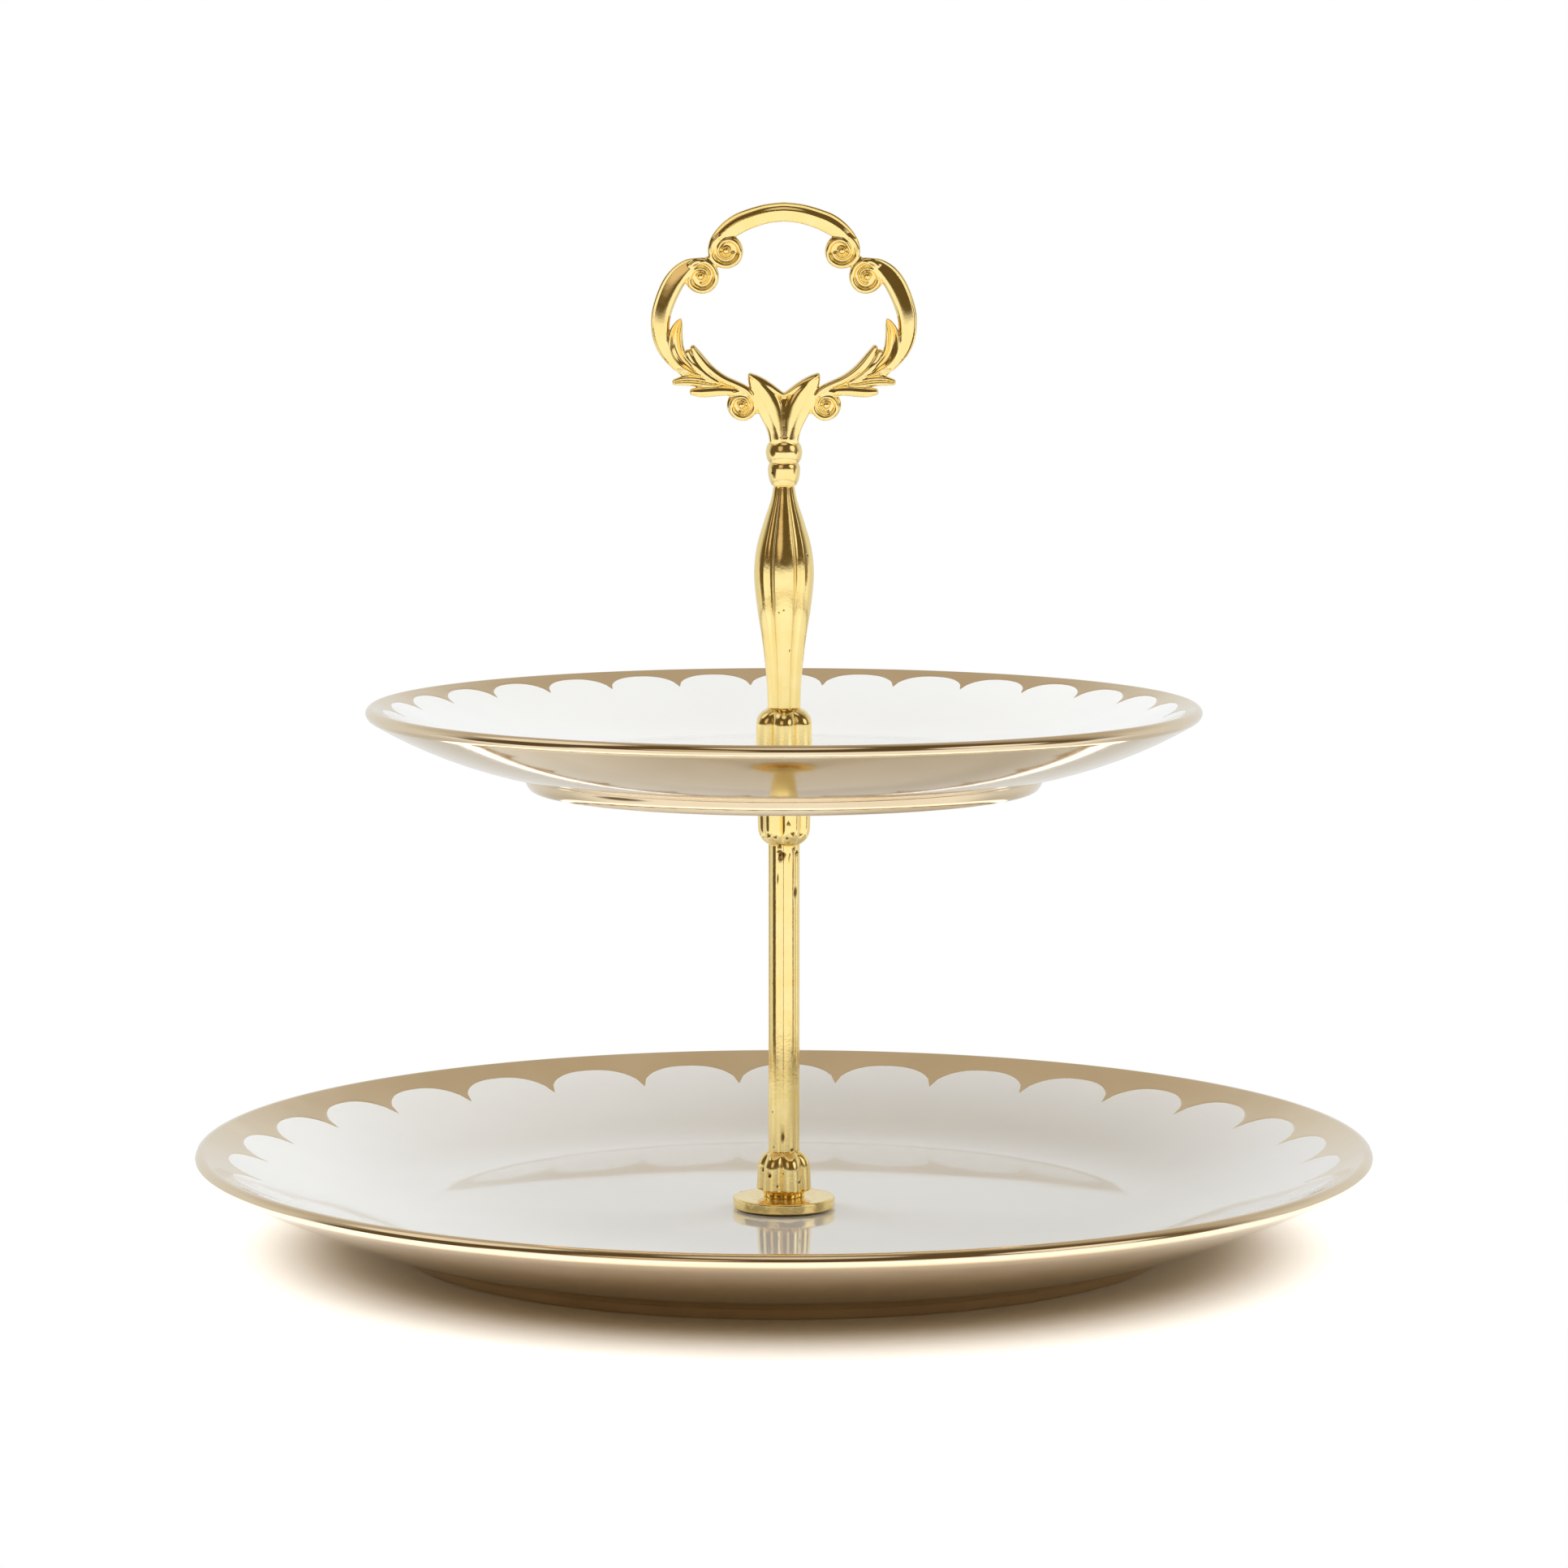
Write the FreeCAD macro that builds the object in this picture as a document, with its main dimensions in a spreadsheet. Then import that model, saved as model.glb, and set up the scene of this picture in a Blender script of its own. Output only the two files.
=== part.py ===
import FreeCAD, Part
import math
import os

import Sketcher
from FreeCAD import Placement, Rotation, Vector

# Two-tier cake stand. Millimetres, +Z up. The origin is on the stand's own axis, at the plane
# that the lower plate's foot ring stands on. The crown of the handle lies in the XZ plane.

# ---------------------------------------------------------------------------------------------
# Driving dimensions. Every r is a radius from the axis and every z a height above the table.
# ---------------------------------------------------------------------------------------------
SIZES = {
    # lower plate: a flat well, a sloping wall, a rounded lip and a foot ring
    "lower_hole_r": 3.1,
    "lower_well_z": 7.4,
    "lower_well_r": 84.0,
    "lower_wall_r": 104.0,
    "lower_wall_z": 11.6,
    "lower_top_r": 131.4,
    "lower_top_z": 22.8,
    "lower_rim_r": 133.5,
    "lower_rim_z": 21.4,
    "lower_lip_r": 132.4,
    "lower_lip_z": 19.8,
    "lower_foot_root_r": 89.2,
    "lower_foot_root_z": 2.4,
    "lower_foot_out_r": 88.2,
    "lower_foot_in_r": 86.0,
    "lower_foot_top_r": 84.6,
    "lower_foot_top_z": 3.0,
    "lower_base_r": 80.0,
    "lower_base_z": 4.2,
    # upper plate
    "upper_hole_r": 3.1,
    "upper_well_z": 110.1,
    "upper_well_r": 58.0,
    "upper_wall_r": 72.0,
    "upper_wall_z": 113.4,
    "upper_top_r": 92.6,
    "upper_top_z": 122.7,
    "upper_rim_r": 94.3,
    "upper_rim_z": 121.5,
    "upper_lip_r": 93.4,
    "upper_lip_z": 119.9,
    "upper_foot_root_r": 58.6,
    "upper_foot_root_z": 107.0,
    "upper_foot_out_r": 57.4,
    "upper_foot_z": 103.9,
    "upper_foot_in_r": 55.4,
    "upper_foot_top_r": 54.2,
    "upper_foot_top_z": 106.2,
    "upper_base_r": 50.0,
    "upper_base_z": 106.6,
    # radii of the arcs in both plates' outlines
    "plate_well_arc": 70.0,
    "plate_wall_arc": 160.0,
    "plate_lip_arc": 1.9,
    "lower_under_arc": 280.0,
    "upper_under_arc": 105.0,
    "plate_foot_arc": 4.0,
    # base disc
    "disc_low_z": 7.8,
    "disc_top_z": 10.2,
    "disc_r": 11.6,
    "disc_edge": 0.8,
    "disc_hole_r": 2.8,
    # rod: lobed spigot, lobed collar, reeded shaft, and the same at the top
    "rod_collar_z": 11.6,
    "rod_collar_top_z": 20.6,
    "rod_shaft_top_z": 91.0,
    "rod_upper_collar_z": 104.6,
    "rod_end_z": 106.0,
    "spigot_outer": 4.7,
    "spigot_valley": 4.1,
    "collar_outer": 6.25,
    "collar_valley": 5.2,
    "collar_small_outer": 5.8,
    "collar_small_valley": 4.85,
    "shaft_outer": 3.55,
    "shaft_valley": 3.0,
    "rod_low_dome_z": 17.3,
    "rod_high_dome_z": 94.3,
    "rod_dome_low_r": 6.1,
    "rod_dome_top_r": 3.62,
    "dome_arc": 3.6,
    "dome_clear_r": 9.0,
    # threads: M5 by 0.8, modelled as plain cylinders with a running clearance
    "thread_r": 2.5,
    "threaded_hole_r": 2.56,
    "rod_low_hole_end_z": 20.4,
    "rod_high_hole_end_z": 94.0,
    "thread_chamfer": 0.5,
    # screw from below, its washer, and the upper stud
    "screw_head_r": 5.0,
    "screw_head_z": 0.8,
    "screw_head_top_z": 3.0,
    "screw_end_z": 18.6,
    "screw_head_arc": 9.08,
    "screw_head_edge_z": 2.3,
    "screw_recess_depth": 1.3,
    "screw_recess_long": 4.4,
    "screw_recess_wide": 1.0,
    "washer_r": 9.0,
    "washer_hole_r": 2.75,
    "stud_low_z": 94.6,
    "stud_end_z": 118.6,
    # soft washers
    "gasket_r": 8.5,
    "gasket_hole_r": 2.8,
    "gasket_under_low_z": 3.7,
    "upper_gasket_r": 6.0,
    # handle: lobed foot, fluted grip, beads
    "handle_low_z": 110.85,
    "handle_foot_z": 112.25,
    "handle_foot_top_z": 121.8,
    "handle_foot_outer": 6.9,
    "handle_foot_valley": 5.75,
    "handle_foot_small_outer": 6.75,
    "handle_foot_small_valley": 5.6,
    "foot_dome_z": 118.4,
    "foot_dome_low_r": 6.95,
    "foot_dome_top_r": 3.9,
    "foot_dome_arc": 3.9,
    "handle_hole_end_z": 119.8,
    "neck_r": 2.35,
    "bead_low_z": 172.0,
    "bead_low_r": 3.6,
    "bead_low_mid_z": 175.6,
    "bead_gap_z": 177.3,
    "bead_gap_r": 3.4,
    "bead_high_r": 4.1,
    "bead_high_mid_z": 179.7,
    "bead_high_z": 181.9,
    "bead_high_end_r": 3.2,
    "neck_ring_z": 183.0,
    "neck_ring_r": 3.3,
    "calyx_z": 190.0,
    "calyx_r": 1.8,
    "bead_low_arc": 4.2,
    "bead_mid_arc": 3.0,
    "bead_high_arc": 3.2,
    # crown: thicknesses measured through the XZ plane
    "crown_thick": 4.4,
    "leaf_thick": 5.6,
    "leaf_side_x": 7.0,
    "leaf_side_z": 191.5,
    "scroll_thick": 5.8,
    "scroll_bead_thick": 7.0,
    "scroll_eye_r": 1.15,
    "scroll_eye_band": 0.55,
    "scroll_gap": 0.35,
    "scroll_band": 0.95,
    "bead_rounding": 1.0,
}

# Half-widths of the fluted grip: (height, radius at the edges of the reeds).
GRIP = [
    (121.4, 3.75),
    (127.0, 3.95),
    (133.0, 4.45),
    (139.0, 5.25),
    (145.0, 6.2),
    (152.0, 6.85),
    (158.0, 6.3),
    (164.0, 4.6),
    (169.0, 2.95),
    (172.4, 2.4),
]

# One half of the crown's outer edge, from the neck round to the top of the arch. Each corner is
# (x, z, radius of the arc to the next corner): positive turns left, negative right, 0 straight.
CROWN_OUTER = [
    (3.2, 182.6, 0),
    (3.9, 185.6, 0),
    (6.0, 188.2, 3.72),
    (12.1, 192.4, 0),
    (15.5, 192.3, 0),
    (19.6, 191.9, 1.4),
    (20.5, 194.4, 0),
    (23.7, 194.2, 1.6),
    (24.0, 197.3, 16.5),
    (29.8, 208.8, 16.2),
    (20.0, 223.4, 6.5),
    (16.9, 222.6, 5.5),
    (16.9, 227.0, 14.0),
    (11.6, 232.3, 26.0),
]
CROWN_TOP_Z = 235.4

# One half of the crown's opening, from the top of the arch down to the middle of the leaves.
CROWN_INNER = [
    (10.16, 227.75, 4.1),
    (14.95, 221.15, 0),
    (14.9, 220.3, 3.98),
    (21.8, 216.5, -14.0),
    (25.8, 209.6, 0),
    (24.4, 209.0, 0),
    (23.2, 209.5, 0.8),
    (22.6, 208.3, 0),
    (22.8, 203.6, 0),
    (22.2, 202.0, 0),
    (20.5, 203.6, 1.4),
    (19.4, 202.0, -22.0),
    (9.3, 195.2, 0),
    (8.2, 197.5, 12.0),
]
CROWN_OPENING_TOP_Z = 231.1
CROWN_OPENING_TOP_ARC = 19.0
CROWN_NOTCH_Z = 193.3

# Coiled scrolls, one of each on either side: name, x, z and radius.
SCROLLS = [
    ("upper", 12.9, 224.7, 4.0),
    ("middle", 18.6, 218.9, 3.9),
    ("lower", 9.1, 190.5, 3.5),
]

REEDS = 6
FLUTE_HALF_ANGLE = 10.5
FLUTE_ARC_SHARE = 0.25
REED_ARC_SHARE = 0.75

for index, (height, radius) in enumerate(GRIP):
    SIZES[f"grip_{index}_z"] = height
    SIZES[f"grip_{index}_r"] = radius
for edge_name, corners in (("crown_edge", CROWN_OUTER), ("opening", CROWN_INNER)):
    for index, (corner_x, corner_z, arc) in enumerate(corners):
        SIZES[f"{edge_name}_{index}_x"] = corner_x
        SIZES[f"{edge_name}_{index}_z"] = corner_z
        if arc:
            SIZES[f"{edge_name}_{index}_arc"] = abs(arc)
SIZES["crown_top_z"] = CROWN_TOP_Z
SIZES["opening_top_z"] = CROWN_OPENING_TOP_Z
SIZES["opening_top_arc"] = CROWN_OPENING_TOP_ARC
SIZES["crown_notch_z"] = CROWN_NOTCH_Z
for scroll, scroll_x, scroll_z, scroll_r in SCROLLS:
    SIZES[f"{scroll}_scroll_x"] = scroll_x
    SIZES[f"{scroll}_scroll_z"] = scroll_z
    SIZES[f"{scroll}_scroll_r"] = scroll_r

doc = FreeCAD.newDocument("cake_stand")
sheet = doc.addObject("Spreadsheet::Sheet", "sizes")
for row, (alias, value) in enumerate(SIZES.items(), start=1):
    sheet.set(f"A{row}", alias)
    sheet.set(f"B{row}", str(value))
    sheet.setAlias(f"B{row}", alias)
doc.recompute()


# ---------------------------------------------------------------------------------------------
# Sketch and feature helpers
# ---------------------------------------------------------------------------------------------
def new_body(label):
    body = doc.addObject("PartDesign::Body", label)
    body.Label = label
    return body


def new_sketch(body, name, plane, height=None, turn=0.0):
    """A sketch on one of the body's origin planes, lifted to the height cell and turned about Z."""
    sketch = body.newObject("Sketcher::SketchObject", name)
    for feature in body.Origin.OriginFeatures:
        if feature.Role == plane:
            sketch.AttachmentSupport = [(feature, "")]
    sketch.MapMode = "FlatFace"
    sketch.AttachmentOffset = Placement(Vector(0, 0, 0), Rotation(Vector(0, 0, 1), turn))
    if height:
        sketch.setExpression("AttachmentOffset.Base.z", f"sizes.{height}")
    return sketch


def bind(sketch, kind, arguments, value, expression):
    """Add a constraint whose value comes from the sheet."""
    number = sketch.addConstraint(Sketcher.Constraint(kind, *arguments, value))
    sketch.setExpression(f"Constraints[{number}]", expression)


def place_point(sketch, edge, end, x_alias, y_alias, x_sign=1):
    """Fix an edge's end to two cells; an alias of None puts it on the other axis."""
    if x_alias is None:
        sketch.addConstraint(Sketcher.Constraint("PointOnObject", edge, end, -2))
    else:
        sign = "" if x_sign > 0 else "-"
        bind(sketch, "DistanceX", (-1, 1, edge, end), x_sign * SIZES[x_alias], f"{sign}sizes.{x_alias}")
    if y_alias is None:
        sketch.addConstraint(Sketcher.Constraint("PointOnObject", edge, end, -1))
    else:
        bind(sketch, "DistanceY", (-1, 1, edge, end), SIZES[y_alias], f"sizes.{y_alias}")


def arc_edge(start, end, radius, left):
    """The minor arc from start to end that turns left or right."""
    chord = end - start
    half = chord.Length / 2
    rise = math.sqrt(max(radius * radius - half * half, 0.0))
    normal = Vector(-chord.y, chord.x, 0).normalize()
    centre = (start + end) * 0.5 + normal * (rise if left else -rise)
    first, last = (start, end) if left else (end, start)
    start_angle = math.atan2(first.y - centre.y, first.x - centre.x)
    end_angle = math.atan2(last.y - centre.y, last.x - centre.x)
    if end_angle < start_angle:
        end_angle += 2 * math.pi
    circle = Part.Circle(centre, Vector(0, 0, 1), radius)
    return Part.ArcOfCircle(circle, start_angle, end_angle)


def draw_outline(sketch, corners):
    """Closed outline. Each corner is (x alias, y alias, arc alias or None, left, x sign)."""
    points = []
    for x_alias, y_alias, _, _, x_sign in corners:
        x = x_sign * SIZES[x_alias] if x_alias else 0.0
        y = SIZES[y_alias] if y_alias else 0.0
        points.append(Vector(x, y, 0))
    ends = []
    for index, (x_alias, y_alias, arc_alias, left, x_sign) in enumerate(corners):
        start = points[index]
        end = points[(index + 1) % len(points)]
        if arc_alias:
            edge = sketch.addGeometry(arc_edge(start, end, SIZES[arc_alias], left), False)
            bind(sketch, "Radius", (edge,), SIZES[arc_alias], f"sizes.{arc_alias}")
            ends.append((edge, 1, 2) if left else (edge, 2, 1))
        else:
            edge = sketch.addGeometry(Part.LineSegment(start, end), False)
            ends.append((edge, 1, 2))
    for index, (x_alias, y_alias, _, _, x_sign) in enumerate(corners):
        edge, start_end, _ = ends[index]
        before, _, before_end = ends[index - 1]
        sketch.addConstraint(Sketcher.Constraint("Coincident", before, before_end, edge, start_end))
        place_point(sketch, edge, start_end, x_alias, y_alias, x_sign)


def corner(x_alias, y_alias, arc_alias=None, left=True, x_sign=1):
    return (x_alias, y_alias, arc_alias, left, x_sign)


def polar_vector(radius, degrees):
    angle = math.radians(degrees)
    return Vector(radius * math.cos(angle), radius * math.sin(angle), 0)


def place_polar(sketch, edge, end, radius, radius_expression, degrees):
    """Fix a point at a radius and an angle from the axis."""
    point = polar_vector(radius, degrees)
    across = f"({radius_expression}) * cos({degrees} deg)"
    along = f"({radius_expression}) * sin({degrees} deg)"
    bind(sketch, "DistanceX", (-1, 1, edge, end), point.x, across)
    bind(sketch, "DistanceY", (-1, 1, edge, end), point.y, along)


def draw_reeded(sketch, outer, valley):
    """A section of convex reeds that meet in valleys, from the two radii in the cells."""
    half_angle = 180 / REEDS
    cosine = math.cos(math.radians(half_angle))
    outer_r = SIZES[outer]
    valley_r = SIZES[valley]
    centre_r = (outer_r**2 - valley_r**2) / (2 * (outer_r - valley_r * cosine))
    over = f"sizes.{outer}"
    under = f"sizes.{valley}"
    centre_text = f"({over}^2 - {under}^2) / (2 * ({over} - {under} * cos({half_angle} deg)))"
    first_angle = 15
    for reed in range(REEDS):
        middle = first_angle + reed * 2 * half_angle
        start = polar_vector(valley_r, middle - half_angle)
        end = polar_vector(valley_r, middle + half_angle)
        edge = sketch.addGeometry(arc_edge(start, end, outer_r - centre_r, True), False)
        bind(sketch, "Radius", (edge,), outer_r - centre_r, f"{over} - {centre_text}")
        place_polar(sketch, edge, 1, valley_r, under, middle - half_angle)
        if reed:
            sketch.addConstraint(Sketcher.Constraint("Coincident", edge - 1, 2, edge, 1))
    sketch.addConstraint(Sketcher.Constraint("Coincident", REEDS - 1, 2, 0, 1))


def draw_fluted(sketch, radius_alias):
    """A section of reeds with a hollow flute between each two, in proportion to one radius."""
    radius = SIZES[radius_alias]
    text = f"sizes.{radius_alias}"
    pitch = 360 / REEDS
    reed_arc = radius * REED_ARC_SHARE
    flute_arc = radius * FLUTE_ARC_SHARE
    count = 0
    for reed in range(REEDS):
        flute_middle = 20 + reed * pitch
        flute_start = flute_middle - FLUTE_HALF_ANGLE
        flute_end = flute_middle + FLUTE_HALF_ANGLE
        next_start = flute_start + pitch
        flute = sketch.addGeometry(
            arc_edge(polar_vector(radius, flute_start), polar_vector(radius, flute_end), flute_arc, False),
            False,
        )
        convex = sketch.addGeometry(
            arc_edge(polar_vector(radius, flute_end), polar_vector(radius, next_start), reed_arc, True),
            False,
        )
        bind(sketch, "Radius", (flute,), flute_arc, f"{text} * {FLUTE_ARC_SHARE}")
        bind(sketch, "Radius", (convex,), reed_arc, f"{text} * {REED_ARC_SHARE}")
        place_polar(sketch, flute, 2, radius, text, flute_start)
        place_polar(sketch, convex, 1, radius, text, flute_end)
        sketch.addConstraint(Sketcher.Constraint("Coincident", flute, 1, convex, 1))
        if reed:
            sketch.addConstraint(Sketcher.Constraint("Coincident", count - 1, 2, flute, 2))
        count = convex + 1
    sketch.addConstraint(Sketcher.Constraint("Coincident", count - 1, 2, 0, 2))


def revolve(body, name, corners, groove=False):
    """Turn an outline in the XZ plane about the axis, as material or as a cut."""
    sketch = new_sketch(body, f"{name}_outline", "XZ_Plane")
    draw_outline(sketch, corners)
    kind = "PartDesign::Groove" if groove else "PartDesign::Revolution"
    feature = body.newObject(kind, name)
    feature.Profile = sketch
    feature.ReferenceAxis = (sketch, ["V_Axis"])
    feature.Angle = 360
    return feature


def loft(body, name, sections, ruled):
    feature = body.newObject("PartDesign::AdditiveLoft", name)
    feature.Profile = sections[0]
    feature.Sections = sections[1:]
    feature.Ruled = ruled
    return feature


def reeded_length(body, name, low, high, first, last, turn):
    """A straight or tapering reeded length between two height cells."""
    low_sketch = new_sketch(body, f"{name}_low", "XY_Plane", low, turn)
    draw_reeded(low_sketch, *first)
    high_sketch = new_sketch(body, f"{name}_high", "XY_Plane", high, turn)
    draw_reeded(high_sketch, *last)
    return loft(body, name, [low_sketch, high_sketch], True)


def ring(label, outer, inner, low, high):
    """A flat washer: one cylinder cut from another."""
    solids = []
    for part_name, radius in (("outside", outer), ("hole", inner)):
        cylinder = doc.addObject("Part::Cylinder", f"{label}_{part_name}")
        cylinder.setExpression("Radius", f"sizes.{radius}")
        cylinder.setExpression("Height", f"sizes.{high} - sizes.{low}")
        cylinder.setExpression("Placement.Base.z", f"sizes.{low}")
        solids.append(cylinder)
    cut = doc.addObject("Part::Cut", label)
    cut.Label = label
    cut.Base = solids[0]
    cut.Tool = solids[1]
    return cut


def drill(body, name, radius, low, high):
    """A round hole along the axis between two height cells."""
    corners = [corner(None, low), corner(radius, low), corner(radius, high), corner(None, high)]
    return revolve(body, name, corners, groove=True)


# ---------------------------------------------------------------------------------------------
# Porcelain plates
# ---------------------------------------------------------------------------------------------
def plate(label, prefix, foot_z):
    """A drilled plate. The outline runs from the hole across the top and back underneath."""
    body = new_body(label)
    corners = [
        corner(f"{prefix}_hole_r", f"{prefix}_well_z"),
        corner(f"{prefix}_well_r", f"{prefix}_well_z", "plate_well_arc", True),
        corner(f"{prefix}_wall_r", f"{prefix}_wall_z", "plate_wall_arc", True),
        corner(f"{prefix}_top_r", f"{prefix}_top_z", "plate_lip_arc", False),
        corner(f"{prefix}_rim_r", f"{prefix}_rim_z", "plate_lip_arc", False),
        corner(f"{prefix}_lip_r", f"{prefix}_lip_z", f"{prefix}_under_arc", False),
        corner(f"{prefix}_foot_root_r", f"{prefix}_foot_root_z"),
        corner(f"{prefix}_foot_out_r", foot_z),
        corner(f"{prefix}_foot_in_r", foot_z),
        corner(f"{prefix}_foot_top_r", f"{prefix}_foot_top_z", "plate_foot_arc", True),
        corner(f"{prefix}_base_r", f"{prefix}_base_z"),
        corner(f"{prefix}_hole_r", f"{prefix}_base_z"),
    ]
    revolve(body, f"{label}_turned", corners)
    return body


lower_plate = plate("lower_plate", "lower", None)
upper_plate = plate("upper_plate", "upper", "upper_foot_z")


# ---------------------------------------------------------------------------------------------
# Base disc, rod and its threaded holes
# ---------------------------------------------------------------------------------------------
base_disc = new_body("base_disc")
revolve(base_disc, "disc_blank", [
    corner("disc_hole_r", "disc_low_z"),
    corner("disc_r", "disc_low_z"),
    corner("disc_r", "disc_top_z"),
    corner("disc_hole_r", "disc_top_z"),
])
doc.recompute()
disc_rounding = base_disc.newObject("PartDesign::Fillet", "disc_rounding")
disc_blank = doc.getObject("disc_blank")
disc_edges = []
for number, edge in enumerate(disc_blank.Shape.Edges, start=1):
    if isinstance(edge.Curve, Part.Circle) and edge.Curve.Radius > SIZES["disc_r"] - 0.1:
        disc_edges.append(f"Edge{number}")
disc_rounding.Base = (disc_blank, disc_edges)
disc_rounding.setExpression("Radius", "sizes.disc_edge")


SPIGOT = ("spigot_outer", "spigot_valley")
COLLAR = ("collar_outer", "collar_valley")
COLLAR_SMALL = ("collar_small_outer", "collar_small_valley")
SHAFT = ("shaft_outer", "shaft_valley")
FOOT = ("handle_foot_outer", "handle_foot_valley")
FOOT_SMALL = ("handle_foot_small_outer", "handle_foot_small_valley")

# The rod turns a valley to the front and the handle turns a reed to the front.
ROD_TURN = -15
HANDLE_TURN = 15
GRIP_TURN = -20

rod = new_body("rod")
reeded_length(rod, "low_spigot", "disc_top_z", "rod_collar_z", SPIGOT, SPIGOT, ROD_TURN)
reeded_length(rod, "low_collar", "rod_collar_z", "rod_collar_top_z", COLLAR, COLLAR_SMALL, ROD_TURN)
revolve(rod, "low_dome", [
    corner("rod_dome_low_r", "rod_low_dome_z", "dome_arc", True),
    corner("rod_dome_top_r", "rod_collar_top_z"),
    corner("dome_clear_r", "rod_collar_top_z"),
    corner("dome_clear_r", "rod_low_dome_z"),
], groove=True)
reeded_length(rod, "shaft", "rod_collar_top_z", "rod_shaft_top_z", SHAFT, SHAFT, ROD_TURN)
reeded_length(
    rod, "high_collar", "rod_shaft_top_z", "rod_upper_collar_z", COLLAR_SMALL, COLLAR, ROD_TURN
)
revolve(rod, "high_dome", [
    corner("rod_dome_low_r", "rod_high_dome_z", "dome_arc", False),
    corner("rod_dome_top_r", "rod_shaft_top_z"),
    corner("dome_clear_r", "rod_shaft_top_z"),
    corner("dome_clear_r", "rod_high_dome_z"),
], groove=True)
reeded_length(rod, "high_spigot", "rod_upper_collar_z", "rod_end_z", SPIGOT, SPIGOT, ROD_TURN)
drill(rod, "low_thread", "threaded_hole_r", "disc_top_z", "rod_low_hole_end_z")
drill(rod, "high_thread", "thread_r", "rod_high_hole_end_z", "rod_end_z")


# ---------------------------------------------------------------------------------------------
# Screw, stud and washers
# ---------------------------------------------------------------------------------------------
def end_chamfer(body, feature, name, height):
    """Break the edge of a bar's end at the given height."""
    doc.recompute()
    edges = []
    for number, edge in enumerate(feature.Shape.Edges, start=1):
        flat = edge.BoundBox.ZLength < 0.001
        if flat and abs(edge.BoundBox.ZMin - height) < 0.001 and isinstance(edge.Curve, Part.Circle):
            edges.append(f"Edge{number}")
    chamfer = body.newObject("PartDesign::Chamfer", name)
    chamfer.Base = (feature, edges)
    chamfer.setExpression("Size", "sizes.thread_chamfer")
    return chamfer


lower_screw = new_body("lower_screw")
screw_blank = revolve(lower_screw, "screw_blank", [
    corner(None, "screw_head_z", "screw_head_arc", True),
    corner("screw_head_r", "screw_head_edge_z"),
    corner("screw_head_r", "screw_head_top_z"),
    corner("thread_r", "screw_head_top_z"),
    corner("thread_r", "screw_end_z"),
    corner(None, "screw_end_z"),
])
end_chamfer(lower_screw, screw_blank, "screw_end", SIZES["screw_end_z"])
for slot, (length, width) in {
    "recess_x": ("screw_recess_long", "screw_recess_wide"),
    "recess_y": ("screw_recess_wide", "screw_recess_long"),
}.items():
    box = lower_screw.newObject("PartDesign::SubtractiveBox", slot)
    box.setExpression("Length", f"sizes.{length}")
    box.setExpression("Width", f"sizes.{width}")
    box.setExpression("Height", "sizes.screw_recess_depth")
    box.setExpression("Placement.Base.x", f"-sizes.{length} / 2")
    box.setExpression("Placement.Base.y", f"-sizes.{width} / 2")
    box.setExpression("Placement.Base.z", "sizes.screw_head_z")

upper_stud = new_body("upper_stud")
stud_blank = revolve(upper_stud, "stud_blank", [
    corner(None, "stud_low_z"),
    corner("thread_r", "stud_low_z"),
    corner("thread_r", "stud_end_z"),
    corner(None, "stud_end_z"),
])
end_chamfer(upper_stud, stud_blank, "stud_end", SIZES["stud_end_z"])

ring("lower_screw_washer", "washer_r", "washer_hole_r", "screw_head_top_z", "gasket_under_low_z")
ring("lower_plate_gasket_under", "gasket_r", "gasket_hole_r", "gasket_under_low_z", "lower_base_z")
ring("lower_plate_gasket_over", "gasket_r", "gasket_hole_r", "lower_well_z", "disc_low_z")
ring("upper_plate_gasket_under", "upper_gasket_r", "gasket_hole_r", "rod_end_z", "upper_base_z")
ring("upper_plate_gasket_over", "upper_gasket_r", "gasket_hole_r", "upper_well_z", "handle_low_z")


# ---------------------------------------------------------------------------------------------
# Handle: one casting
# ---------------------------------------------------------------------------------------------
def mirrored_loop(name, corners, first, last):
    """The right half's corners, then the same ones reversed on the left."""
    def arc_of(index):
        arc = corners[index][2]
        return (f"{name}_{index}_arc" if arc else None, arc >= 0)

    loop = list(first)
    for index in range(len(corners)):
        arc_alias, left = arc_of(index)
        loop.append(corner(f"{name}_{index}_x", f"{name}_{index}_z", arc_alias, left))
    arc_alias, left = arc_of(len(corners) - 1)
    loop.append(corner(None, last, arc_alias, left))
    for index in range(len(corners) - 1, 0, -1):
        arc_alias, left = arc_of(index - 1)
        loop.append(corner(f"{name}_{index}_x", f"{name}_{index}_z", arc_alias, left, -1))
    return loop


def flat_pad(body, name, sketch, thickness):
    """A pad centred on the XZ plane."""
    feature = body.newObject("PartDesign::Pad", name)
    feature.Profile = sketch
    feature.SideType = "Symmetric"
    feature.setExpression("Length", f"sizes.{thickness}")
    return feature


def scroll_circle(sketch, scroll, x_sign, value, expression):
    """A circle about one scroll's centre, its radius both a value and an expression."""
    centre = Vector(x_sign * SIZES[f"{scroll}_scroll_x"], SIZES[f"{scroll}_scroll_z"], 0)
    circle = sketch.addGeometry(Part.Circle(centre, Vector(0, 0, 1), value), False)
    place_point(sketch, circle, 3, f"{scroll}_scroll_x", f"{scroll}_scroll_z", x_sign)
    bind(sketch, "Radius", (circle,), value, expression)


def round_sharp_edges(body, feature, name, size, wanted):
    """Fillet the edges of a feature that the test picks."""
    doc.recompute()
    edges = []
    for number, edge in enumerate(feature.Shape.Edges, start=1):
        if wanted(edge):
            edges.append(f"Edge{number}")
    fillet = body.newObject("PartDesign::Fillet", name)
    fillet.Base = (feature, edges)
    fillet.setExpression("Radius", f"sizes.{size}")
    return fillet


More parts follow.
